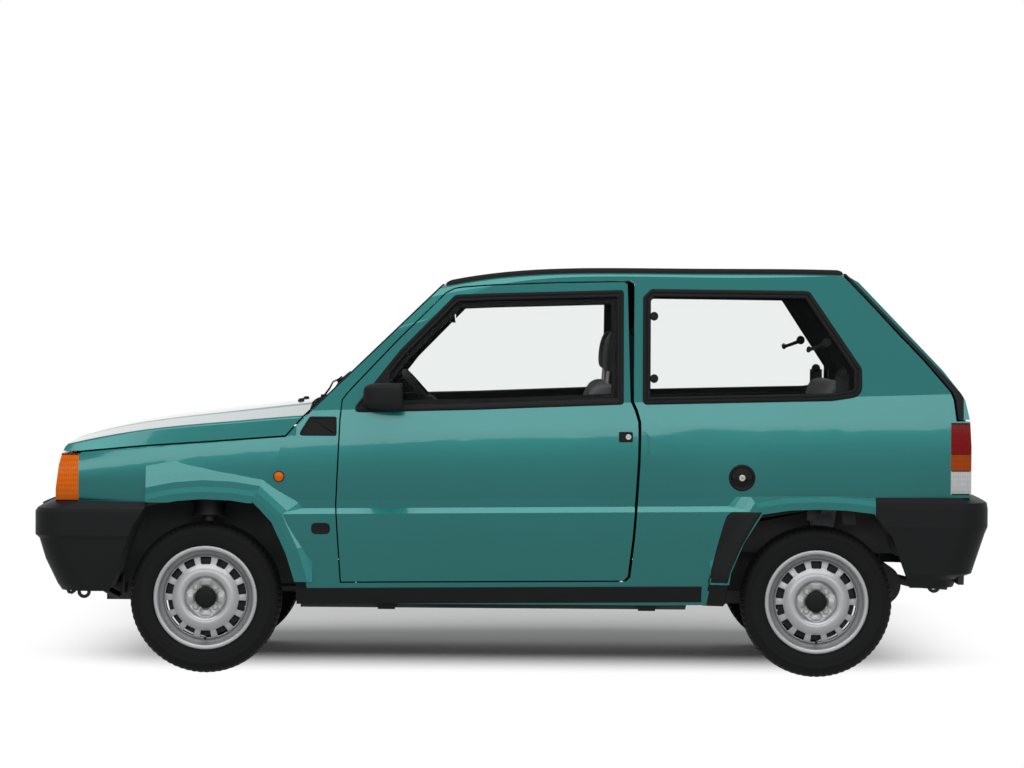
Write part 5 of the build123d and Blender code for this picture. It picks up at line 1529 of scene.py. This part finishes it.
# ---------------------------------------------------------------- cabin fittings
class CityCarCabin(PropertyGroup):
    """Cabin fittings."""

    card_thick: number("Door card", "Thickness of a door's trim panel, mm", 6.0, 2.0)
    belt_width: number("Belt", "Width of a seat belt, mm", 47.0, 20.0)


CARD = [(-545, 430), (362, 400), (396, 600), (404, 905), (-560, 905), (-588, 760)]
WINDER_AT, LATCH_AT = (-60, 560), (1112, 1190)
SIDE_DEPTH = 66.0  # from the skin to the inner face of a door or side


def inside(x, z, off):
    """Point standing off the inner face of a door or side, toward the cabin."""
    return on_side(x, z, -SIDE_DEPTH - off)


class CITYCAR_OT_door_cards(Operator):
    """Door trim panels with armrest, pull, winder and pocket"""

    bl_idname = "citycar.door_cards"
    bl_label = "Door cards"

    def execute(self, context):
        t = context.scene.citycar_cabin.card_thick
        card = spread(rounded(CARD, 24), 60.0)
        card = plate(card, [(0, 0.3), (0, t - 2), (2, t), (14, t), (18, t - 2), (60, t - 1)], inside)
        pair("door_card", card, "dash", "{side}_door", 30)
        insert = spread(rounded([(-470, 640), (340, 640), (350, 850), (-500, 850)], 20), 60.0)
        insert = plate(insert, [(0, t - 2), (0, t + 2), (4, t + 4.5), (60, t + 5)], inside)
        pair("door_insert", insert, "insert", "{side}_door", 30)
        pocket = spread(rounded([(-480, 440), (60, 430), (60, 520), (-480, 530)], 14), 60.0)
        pocket = plate(pocket, [(0, t - 2), (0, t + 30), (4, t + 34), (10, t + 34), (12, t + 8)], inside)
        pair("door_pocket", pocket, "dash", "{side}_door", 30)
        arm = []
        for k, x in enumerate(steps(-330, 150, 13)):
            rise = 20 * max(0.0, 1 - abs(k - 6) / 6.0) ** 0.5
            arm.append([inside(x, 655 + b, t + 3 + (26 + rise) * a) for a, b in
                        ((0, -22), (0.8, -20), (1, -10), (1, 10), (0.85, 20), (0, 24))])
        pair("door_armrest", rings(arm), "black", "{side}_door", 50)
        hub = round_pad(inside, WINDER_AT, [(26, t), (26, t + 6), (20, t + 12), (10, t + 14)])
        way = [inside(-60, 560, t + 13), inside(-20, 575, t + 20), inside(40, 590, t + 24)]
        crank = tube(way, lambda q: 8 - 3 * q, 10)
        grip = tube([inside(40, 590, t + 18), inside(40, 590, t + 48)], lambda q: 9 + 2 * sin(pi * q), 14)
        pair("window_winder", joined([hub, crank, grip]), "black", "{side}_door", 45)
        catch = spread(rounded([(-420, 690), (-330, 690), (-330, 730), (-420, 730)], 10), 20.0)
        catch = plate(catch, [(0, t), (0, t + 8), (3, t + 10), (8, t + 10), (10, t + 4)], inside)
        pair("door_catch", catch, "black", "{side}_door", 35)
        self.side_panels(t)
        return {"FINISHED"}

    def side_panels(self, t):
        """Rear side panels, the boot's lining, and the quarter windows' latches and hinges."""
        outline = [(440, 440), (700, 440), (760, 640), (1040, 640), (1080, 560), (1110, 880), (440, 880)]
        panel = spread(rounded(outline, 20), 60.0)
        panel = plate(panel, [(0, 0.3), (0, t - 2), (2, t), (14, t), (18, t - 2), (40, t - 2)], inside)
        pair("rear_side_panel", panel, "dash", soft=30)

        def boot_side(u, z):
            front = 1364 - (z - 452) * 0.52 if z < 592 else 1291
            x = front + (1578 - front) * u
            return x, 67 - side_half(x, z) + 1.5 * sin(u * 12 * pi), z

        lining = grid(steps(0, 1, 25), [452, 460, 500, 546, 592, 625, 652], boot_side, 3.0, (0, 1, 0))
        pair("boot_lining", lining, "mat", soft=30)
        x, z = LATCH_AT
        lever = [
            round_pad(on_side, LATCH_AT, [(16, -18), (16, -26), (12, -30), (8, -32)], 24),
            tube([on_side(x, z, -30), on_side(x - 34, z - 12, -36), on_side(x - 64, z - 24, -30)],
                 lambda q: 7.5 - 1.5 * q, 12),
            tube([on_side(x - 64, z - 24, -10), on_side(x - 64, z - 24, -36)], 8.5, 14),
        ]
        pair("quarter_latch", joined(lever), "black", soft=45)
        hinge = [(13, 6), (14.5, 3), (14.5, -6), (12, -9), (12, -16)]
        knobs = [round_pad(on_side, (500, z), hinge, 24) for z in (1274, 1054)]
        pair("quarter_hinges", joined(knobs), "rubber", soft=40)


class CITYCAR_OT_belts(Operator):
    """Seat belts with their reels, anchors and buckles, and the interior mirror and visors"""

    bl_idname = "citycar.belts"
    bl_label = "Belts and mirror"

    def execute(self, context):
        w = context.scene.citycar_cabin.belt_width
        for name, path in (
            ("front_belt", [(436, 1240, 16), (452, 1000, 18), (470, 700, 16), (478, 400, 16)]),
            ("rear_belt", [(1170, 1095, 20), (1172, 960, 18), (1180, 800, 24), (1196, 600, 30)]),
        ):
            pair(name, self.band([inside(*p) for p in path], w), "webbing", soft=50)
        anchor = [(0, 0), (15, 0), (17, 4), (15, 13), (6, 17), (0, 17)]
        places = (inside(436, 1240, 6), inside(1170, 1095, 8))
        bosses = [moved(turned(anchor, 24), Matrix.Translation(p)) for p in places]
        pair("belt_anchors", joined(bosses), "black", soft=40)
        x, y, z = inside(478, 330, 2)
        pair("belt_reels", brick((x - 44, y + 1, z - 50), (x + 44, y + 62, z + 60), 8, 3), "black", soft=35)
        stalks = [tube([(190, -100, 262), (185, -98, 340), (182, -96, 420)], lambda q: 5 + 6 * q * q, 12),
                  brick((168, -112, 412), (196, -80, 470), 5, 3)]
        pair("belt_buckles", joined(stalks), "black", soft=40)
        self.mirror()
        self.visors()
        return {"FINISHED"}

    def band(self, path, width):
        """Flat webbing on a smooth way through points, its width along the car."""
        section = ((-1, -0.7), (1, -0.7), (1, 0.7), (-1, 0.7))
        return rings(
            [[(p.x + a * width / 2, p.y + b, p.z) for a, b in section] for p in smooth_way(path, 10)])

    def mirror(self):
        """Interior mirror on its stem; each row is a depth and the half sizes there."""
        shell = ((-250, 60, 14), (-246, 96, 26), (-238, 108, 31), (-228, 111, 33), (-222, 110, 32),
                 (-221, 106, 29))
        loops = [[(x + 6 - z * 0.05, y, 1276 + z) for y, z in oval(w, h, 5.0, 36)] for x, w, h in shell]
        piece("interior_mirror", *rings(loops), "black", soft=45)
        glass = [[(-214.6 - z * 0.05, y, 1276 + z) for y, z in oval(w, h, 5.0, 36)]
                 for w, h in ((104, 27.5), (60, 15))]
        back = [[(x - 1.5, y, z) for x, y, z in loop] for loop in reversed(glass)]
        piece("interior_mirror_glass", *rings(back + glass), "silvered", soft=30)
        stem = tube([(-246, 0, 1290), (-262, 0, 1322), (-268, 0, 1346)], lambda q: 8 + 5 * q, 14)
        piece("interior_mirror_stem", *stem, "black", soft=45)

    def visors(self):
        """Sun visors, thinner toward their ends."""
        for side, y0, y1 in (("left", -500.0, -90.0), ("right", 90.0, 500.0)):
            loops = []
            for t in steps(0, 1, 9):
                y = y0 + (y1 - y0) * t
                end = min(1.0, min(t, 1 - t) * 8)
                section = oval(78, 4 + 5 * end, 2.6, 28)
                loops.append([(-118 + a * (0.9 + 0.1 * end), y, 1362 + a * 0.08 + b) for a, b in section])
            piece(f"sun_visor_{side}", *rings(loops), "dash", soft=60)


def smooth_way(points, parts):
    """Points along a smooth curve that passes near the given ones."""
    pts = [Vector(p) for p in points]
    pts = [pts[0] * 2 - pts[1]] + pts + [pts[-1] * 2 - pts[-2]]
    out = []
    for a, b, c, d in zip(pts, pts[1:], pts[2:], pts[3:]):
        for k in range(parts):
            t = k / parts
            square, cube = 2 * a - 5 * b + 4 * c - d, 3 * b - a - 3 * c + d
            out.append(0.5 * (2 * b + (c - a) * t + square * t * t + cube * t**3))
    return out + [pts[-2]]


STEER_MID, STEER_AXIS = Vector((-276, -360, 933)), Vector((0.7605, 0, 0.6495))
DRIVER_Y, DIAL_Z = -360, 942


class CITYCAR_OT_dash(Operator):
    """Instrument hood with dials, vents, heater panel, pedals, levers and floor mats"""

    bl_idname = "citycar.dash"
    bl_label = "Dash"

    def execute(self, context):
        hood = []
        for x, low, high, wide in (
            (-640, 905, 920, 150), (-600, 908, 965, 165), (-540, 906, 984, 172), (-478, 900, 990, 176),
            (-456, 902, 986, 174), (-458, 908, 978, 166), (-500, 912, 972, 160),
        ):
            mid, tall = (low + high) / 2, (high - low) / 2
            hood.append([(x, DRIVER_Y + a, mid + b) for a, b in oval(wide, tall, 5.0, 36)])
        piece("instrument_hood", *rings(hood), "dash", soft=45)
        face = [[(x, DRIVER_Y + a, DIAL_Z + b) for a, b in oval(w, h, 5.0, 36)] for x, w, h in
                ((-496, 158, 30), (-492, 156, 29), (-491.5, 80, 15))]
        piece("instrument_face", *rings(face), "dial", soft=30)
        dials = []
        for y, r in ((-430, 27), (-360, 24), (-292, 27)):
            ring = [(r - 3, -493), (r - 3, -489), (r, -488), (r + 1.5, -490), (r + 1.5, -493)]
            dials.append(turned(ring, 40, (0, y, DIAL_Z), "X", closed=True))
            tip = (-489.5, y - r * 0.6, DIAL_Z - r * 0.45)
            dials.append(tube([(-489.5, y, DIAL_Z), tip], lambda q: 1.4 - q * 0.7, 6))
        piece("instrument_dials", *joined(dials), "plate_front", soft=40)
        self.vents()
        self.middle()
        self.pedals()
        for side, y in (("left", DRIVER_Y), ("right", -DRIVER_Y)):
            corners = [(-640, y - 190), (90, y - 190), (90, y + 190), (-640, y + 190)]
            mat = spread(rounded(corners, 50), 60.0)
            levels = [(0, 255.4), (0, 259), (3, 261), (16, 261), (18, 259.5), (40, 259.5)]
            piece(f"floor_mat_{side}", *plate(mat, levels, lambda *p: p), "mat", soft=30)
        lean = Matrix.Translation(STEER_MID) @ STEER_AXIS.to_track_quat("Z", "Y").to_matrix().to_4x4()
        boss = [(0, -14), (50, -14), (56, 6), (54, 16), (48, 21), (30, 23), (0, 24)]
        piece("horn_pad", *moved(turned(boss, 44, axis="Z"), lean), "black", "steering_wheel", 35)
        ways = ([(-345, -345, 872), (-338, -420, 884), (-330, -500, 896)],
                [(-352, -400, 872), (-340, -300, 884), (-332, -225, 896)])
        stalks = [tube(way, lambda q: 6 + 2.5 * q * q, 12) for way in ways]
        piece("column_stalks", *joined(stalks), "black", soft=45)
        shroud = []
        up = Vector((-STEER_AXIS.z, 0, STEER_AXIS.x))
        for k, r in ((62, 34), (68, 40), (110, 44), (190, 48), (230, 46)):
            p = STEER_MID - STEER_AXIS * k
            shroud.append([tuple(p + Vector((0, a, 0)) + up * b) for a, b in oval(r + 8, r, 3.5, 28)])
        piece("column_shroud", *rings(shroud), "dash", soft=45)
        return {"FINISHED"}

    def vents(self):
        """Four air vents in the dash, each with five vanes in a raised rim."""
        shapes, rims = [], []
        for y in (-560, -80, 80, 560):
            mid_x, mid_z = -481.0, 868.0
            for k in range(5):
                z = mid_z - 18 + 9 * k
                shapes.append(brick((mid_x - 8, y - 46, z - 1), (mid_x + 3, y + 46, z + 1), 0.6, 1))
            low, high = mid_z - 26, mid_z + 26
            outline = rounded([(y - 52, low), (y + 52, low), (y + 52, high), (y - 52, high)], 8)
            section = [(0, -12), (0, 6), (2, 8), (5, 8), (6, 4), (6, -12)]
            rims.append(strip(outline, section, lambda a, b, h: (mid_x + h, a, b)))
        piece("dash_vent_vanes", *joined(shapes), "black", soft=30)
        piece("dash_vent_rims", *joined(rims), "black", soft=30)

    def middle(self):
        """Heater panel on the dash, the gear lever and the handbrake."""
        panel = brick((-500, -110, 690), (-470, 110, 830), 8, 3)
        piece("heater_panel", *panel, "black", soft=35)
        knobs = [turned([(18, -472), (18, -458), (15, -452), (4, -451)], 28, (0, y, 790), "X")
                 for y in (-70, 0, 70)]
        knobs += [brick((-474, -86, 720 + 24 * k), (-464, 86, 728 + 24 * k), 2, 2) for k in range(2)]
        piece("heater_knobs", *joined(knobs), "dash", soft=35)
        folds = [(70, 318), (66, 330), (50, 352), (54, 362), (36, 384), (40, 394), (22, 412), (12, 424)]
        piece("gear_gaiter", *turned(folds, 28, (-250, 0, 0), "Z"), "rubber", soft=50)
        lever = tube([(-250, 0, 400), (-244, 0, 500), (-232, 0, 560)], 6.0, 12)
        knob = turned([(0, 0), (10, 0), (21, 14), (24, 32), (20, 46), (0, 52)], 28, (-230, 0, 552), "Z")
        piece("gear_lever", *joined([lever, knob]), "black", soft=45)
        way = [(60, 0, 322), (10, 0, 350), (-90, 0, 392), (-150, 0, 410)]
        brake = tube(way, lambda q: 13 if q < 0.7 else 16, 14)
        piece("handbrake", *joined([brake, brick((30, -30, 312), (110, 30, 334), 8, 3)]), "black", soft=45)

    def pedals(self):
        """Three hanging pedals with rubber pads."""
        shapes, pads = [], []
        for y, low in ((-470, 330), (-380, 330), (-300, 322)):
            shapes.append(tube([(-690, y, 560), (-640, y, 440), (-628, y, low + 20)], 7, 10))
            pads.append(brick((-640, y - 27, low - 22), (-612, y + 27, low + 34), 6, 2))
        piece("pedal_arms", *joined(shapes), "chassis", soft=40)
        piece("pedal_pads", *joined(pads), "rubber", soft=35)


# ---------------------------------------------------------------- under the bonnet and the car
class CITYCAR_OT_engine_bay(Operator):
    """Air filter, cam cover, battery, radiator, bottle and hoses over the plain engine block"""

    bl_idname = "citycar.engine_bay"
    bl_label = "Engine bay"

    def execute(self, context):
        low, high = (Vector(c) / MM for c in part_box("engine"))
        top = high.z
        mid = (low + high) / 2
        cover = []
        for z, w, l in ((top - 2, 72, 196), (top + 22, 72, 196), (top + 34, 68, 192), (top + 38, 58, 182)):
            cover.append([(mid.x - 40 + a, mid.y + 30 + b, z) for a, b in oval(w, l, 5.0, 40)])
        ribs = [brick((mid.x - 96, mid.y - 120 + 30 * k, top + 30),
                      (mid.x + 16, mid.y - 112 + 30 * k, top + 43), 2, 2)
                for k in range(10)]
        piece("cam_cover", *joined([rings(cover)] + ribs), "alloy", soft=35)
        nuts = [turned([(0, top + 36), (8, top + 36), (8, top + 44), (5, top + 47), (0, top + 47)], 6,
                       (mid.x - 40, mid.y + y, 0), "Z") for y in (-130, 30, 190)]
        piece("cam_cover_nuts", *joined(nuts), "zinc", soft=25)
        filter_at = (mid.x + 108, mid.y - 40, 0)
        section = [(0, 0), (104, 0), (110, 4), (112, 14), (112, 44), (108, 52), (112, 56), (112, 60),
                   (104, 66),
                   (40, 70), (30, 64), (0, 64)]
        drum = turned([(r, z + top + 34) for r, z in section], 56, filter_at, "Z")
        way = [(60, -130, 60), (0, -210, 56), (-90, -240, 40)]
        snout = tube([(mid.x + x, mid.y + y, top + z) for x, y, z in way], lambda q: 34 - 6 * q, 24)
        piece("air_filter", *joined([drum, snout]), "black", soft=40)
        nut = [(0, top + 98), (14, top + 98), (14, top + 108), (0, top + 108)]
        piece("air_filter_nut", *turned(nut, 6, filter_at, "Z"), "zinc", soft=25)
        case = brick((-1420, 300, 560), (-1250, 440, 730), 6, 3)
        lid = brick((-1424, 296, 716), (-1246, 444, 738), 5, 2)
        piece("battery", *joined([case, lid]), "black", soft=30)
        posts = [turned([(0, 738), (11, 738), (10, 756), (0, 757)], 20, (-1390, y, 0), "Z")
                 for y in (330, 410)]
        piece("battery_posts", *joined(posts), "alloy", soft=35)
        core = [brick((-1530 + 6 * j, -300, 400 + 12 * k), (-1526 + 6 * j, 250, 402 + 12 * k), 0.5, 1)
                for j in range(4) for k in range(22)]
        tanks = [brick((-1536, -330, 392), (-1500, -298, 672), 8, 3),
                 brick((-1536, 248, 392), (-1500, 280, 672), 8, 3)]
        piece("radiator_core", *joined(core), "alloy", soft=30)
        piece("radiator_tanks", *joined(tanks), "black", soft=35)
        upper = [
            (-1500, 262, 650), (-1450, 262, 668), (-1400, 200, 690), (mid.x - 110, mid.y + 120, top - 10)]
        lower = [(-1500, -312, 430), (-1440, -312, 440), (-1390, -250, 470), (low.x - 2, -200, 480)]
        hoses = [tube(smooth_way(way, 10), 17, 20) for way in (upper, lower)]
        piece("radiator_hoses", *joined(hoses), "rubber", soft=50)
        tank = [[(-880 + a, -400 + b, z) for a, b in oval(w, l, 4.0, 36)] for z, w, l in
                ((640, 44, 60), (644, 48, 64), (740, 48, 64), (752, 44, 60), (756, 30, 40))]
        piece("washer_bottle", *rings(tank), "plate_front", soft=40)
        cap = turned([(0, 756), (22, 756), (24, 760), (24, 774), (20, 778), (0, 778)], 28, (-880, -400, 0),
                     "Z")
        piece("washer_bottle_cap", *cap, "black", soft=35)
        return {"FINISHED"}


class CITYCAR_OT_underside(Operator):
    """Exhaust hangers and the heat shield over the exhaust"""

    bl_idname = "citycar.underside"
    bl_label = "Underside"

    def execute(self, context):
        hangers = []
        for x, y, low, high in ((-300, 0, 285, 300), (1180, 290, 240, 428), (1345, 290, 320, 428)):
            hangers += [brick((x - 9, y + a, low), (x + 9, y + a + 8, high), 3, 2) for a in (-26, 18)]
        piece("exhaust_hangers", *joined(hangers), "rubber", soft=35)
        section = [(-72, 262), (-66, 290), (-30, 297), (30, 297), (66, 290), (72, 262),
                   (70.5, 262), (65, 288.5), (30, 295.5), (-30, 295.5), (-65, 288.5), (-70.5, 262)]
        shield = [[(x, y, z + 1.6 * sin(x * 0.16)) for y, z in section] for x in steps(-660, 540, 25)]
        piece("heat_shield", *rings(shield), "alloy", soft=50)
        return {"FINISHED"}


# ---------------------------------------------------------------- stage
class CityCarStage(PropertyGroup):
    """Camera and light."""

    camera_place: FloatVectorProperty(
        name="Camera place", description="Where the camera stands", subtype="TRANSLATION", unit="LENGTH",
        default=(0.027, -14.30, 1.285))
    camera_pitch: FloatProperty(
        name="Camera pitch", description="How far the camera looks down", subtype="ANGLE",
        default=radians(1.07))
    camera_yaw: FloatProperty(
        name="Camera yaw", description="How far the camera turns left", subtype="ANGLE",
        default=radians(0.12))
    camera_roll: FloatProperty(
        name="Camera roll", description="How far the camera leans", subtype="ANGLE", default=radians(0.42))
    lens: number("Lens", "Focal length in millimetres", 135.6, 10.0)
    floor_colour: colour_of("Floor colour", "Floor near the car", (0.9, 0.9, 0.9))
    room_light: number("Room light", "Even light from all round", 0.28)
    overhead_power: number("Overhead lamp", "Power of the soft lamp, W", 390.0)
    side_power: number("Side lamp", "Power of the long low lamp, W", 760.0)


FLOOR_NEAR = (1.0, 1.45, 1.2)  # half length, middle and half width of the floor that shows its shadows, m
FLOOR_FADE = 0.9  # from there the floor turns white over this length, m


def soft_light(name, place, aim, size, power):
    """Rectangular lamp at a place, turned to an aim."""
    data = bpy.data.lights.new(name, "AREA")
    data.shape, data.size, data.size_y, data.energy = "RECTANGLE", size[0], size[1], power
    lamp = bpy.data.objects.new(name, data)
    lamp.location = place
    lamp.rotation_euler = (Vector(aim) - Vector(place)).to_track_quat("-Z", "Y").to_euler()
    bpy.context.scene.collection.objects.link(lamp)


def floor_finish(colour, near, fade):
    """Pale floor that takes the car's shadow; away from the car the eye and reflections see plain white."""
    m = Finish("floor_white")
    speck = m.noise(4.0)
    shade = m.blend(speck, colour, [c * 0.99 for c in colour])
    ground = m.surface(Base_Color=shade, Roughness=0.9, Specular_IOR_Level=0.1)
    at = m.node("ShaderNodeSeparateXYZ", None, Vector=m.place())
    outside = m.node("ShaderNodeCombineXYZ", None, X=(abs(at["X"]) - near[0]).clamp_low(),
                     Y=(abs(at["Y"] - near[1]) - near[2]).clamp_low())
    far = m.node("ShaderNodeVectorMath", {"operation": "LENGTH"}, outside["Vector"])["Value"]
    share = (far / fade).clamp()
    seen = see_through(m)
    white = m.node("ShaderNodeEmission", None, Strength=1.0)["Emission"]
    fade_in = share * share * (3.0 - share * 2.0) * seen
    return m.output(m.node("ShaderNodeMixShader", None, fade_in, ground, white)["Shader"])


def see_through(m):
    """One for rays that come from the eye, a reflection or glass."""
    ray = m.node("ShaderNodeLightPath")
    return (ray["Is Camera Ray"] + ray["Is Glossy Ray"] + ray["Is Transmission Ray"]).clamp()


def white_room(strength):
    """World: white to the eye and to reflections, and a plain even light for the rest."""
    world = bpy.data.worlds.new("studio")
    m = Finish.__new__(Finish)
    world.use_nodes = True
    m.material, m.tree = world, world.node_tree
    m.tree.nodes.clear()
    seen = see_through(m)
    back = m.node(
        "ShaderNodeBackground", None, Color=(1, 1, 1), Strength=seen * (1.0 - strength) + strength)
    m.node("ShaderNodeOutputWorld", None, Surface=back["Background"])
    return world


class CITYCAR_OT_stage(Operator):
    """Lays the floor, hangs the lamps and sets the camera"""

    bl_idname = "citycar.stage"
    bl_label = "Stage"

    def execute(self, context):
        scene, s = context.scene, context.scene.citycar_stage
        bpy.ops.mesh.primitive_plane_add(size=120.0, location=(0, 0, 0))
        floor = context.object
        floor.name = "floor"
        floor.data.materials.append(floor_finish(tuple(s.floor_colour), FLOOR_NEAR, FLOOR_FADE))
        scene.world = white_room(s.room_light)
        soft_light("overhead", (0.0, -3.2, 5.8), (0, 0, 0.5), (11.0, 3.2), s.overhead_power)
        soft_light("side", (0.0, -15.5, 4.3), (0, 0, 0.8), (18.0, 3.2), s.side_power)
        camera = bpy.data.objects.new("camera", bpy.data.cameras.new("camera"))
        camera.data.lens, camera.data.sensor_width = s.lens, 36.0
        camera.data.clip_end = 200.0
        camera.matrix_world = (
            Matrix.Translation(s.camera_place) @ Matrix.Rotation(s.camera_yaw, 4, "Z")
            @ Matrix.Rotation(pi / 2 - s.camera_pitch, 4, "X") @ Matrix.Rotation(s.camera_roll, 4, "Z")
        )
        scene.collection.objects.link(camera)
        scene.camera = camera
        scene.view_settings.view_transform = "Standard"
        return {"FINISHED"}


# ---------------------------------------------------------------- add-on
GROUPS = (
    ("citycar_finish", CityCarFinish), ("citycar_wheels", CityCarWheels), ("citycar_trim", CityCarTrim),
    ("citycar_seats", CityCarSeats), ("citycar_cabin", CityCarCabin), ("citycar_stage", CityCarStage),
)
OPERATORS = (
    CITYCAR_OT_finishes, CITYCAR_OT_wheels, CITYCAR_OT_window_seals, CITYCAR_OT_screen_seals,
    CITYCAR_OT_side_trim,
    CITYCAR_OT_mirrors, CITYCAR_OT_wipers, CITYCAR_OT_lamps, CITYCAR_OT_end_fittings, CITYCAR_OT_seats,
    CITYCAR_OT_door_cards, CITYCAR_OT_belts, CITYCAR_OT_dash, CITYCAR_OT_engine_bay, CITYCAR_OT_underside,
    CITYCAR_OT_stage,
)


class CITYCAR_PT_panel(Panel):
    """Lists the steps that build the car"""

    bl_label = "City car"
    bl_space_type = "VIEW_3D"
    bl_region_type = "UI"
    bl_category = "City car"

    def draw(self, context):
        for step in OPERATORS:
            self.layout.operator(step.bl_idname)
        for name, group in GROUPS:
            for prop in group.__annotations__:
                self.layout.prop(getattr(context.scene, name), prop)


def register():
    for cls in [g for _, g in GROUPS] + list(OPERATORS) + [CITYCAR_PT_panel]:
        bpy.utils.register_class(cls)
    for name, group in GROUPS:
        setattr(bpy.types.Scene, name, bpy.props.PointerProperty(type=group))


def unregister():
    for name, _ in GROUPS:
        delattr(bpy.types.Scene, name)
    for cls in [CITYCAR_PT_panel] + list(reversed(OPERATORS)) + [g for _, g in GROUPS]:
        bpy.utils.unregister_class(cls)


def main():
    register()
    for step in OPERATORS:
        family, name = step.bl_idname.split(".")
        getattr(getattr(bpy.ops, family), name)()


if __name__ == "__main__":
    main()
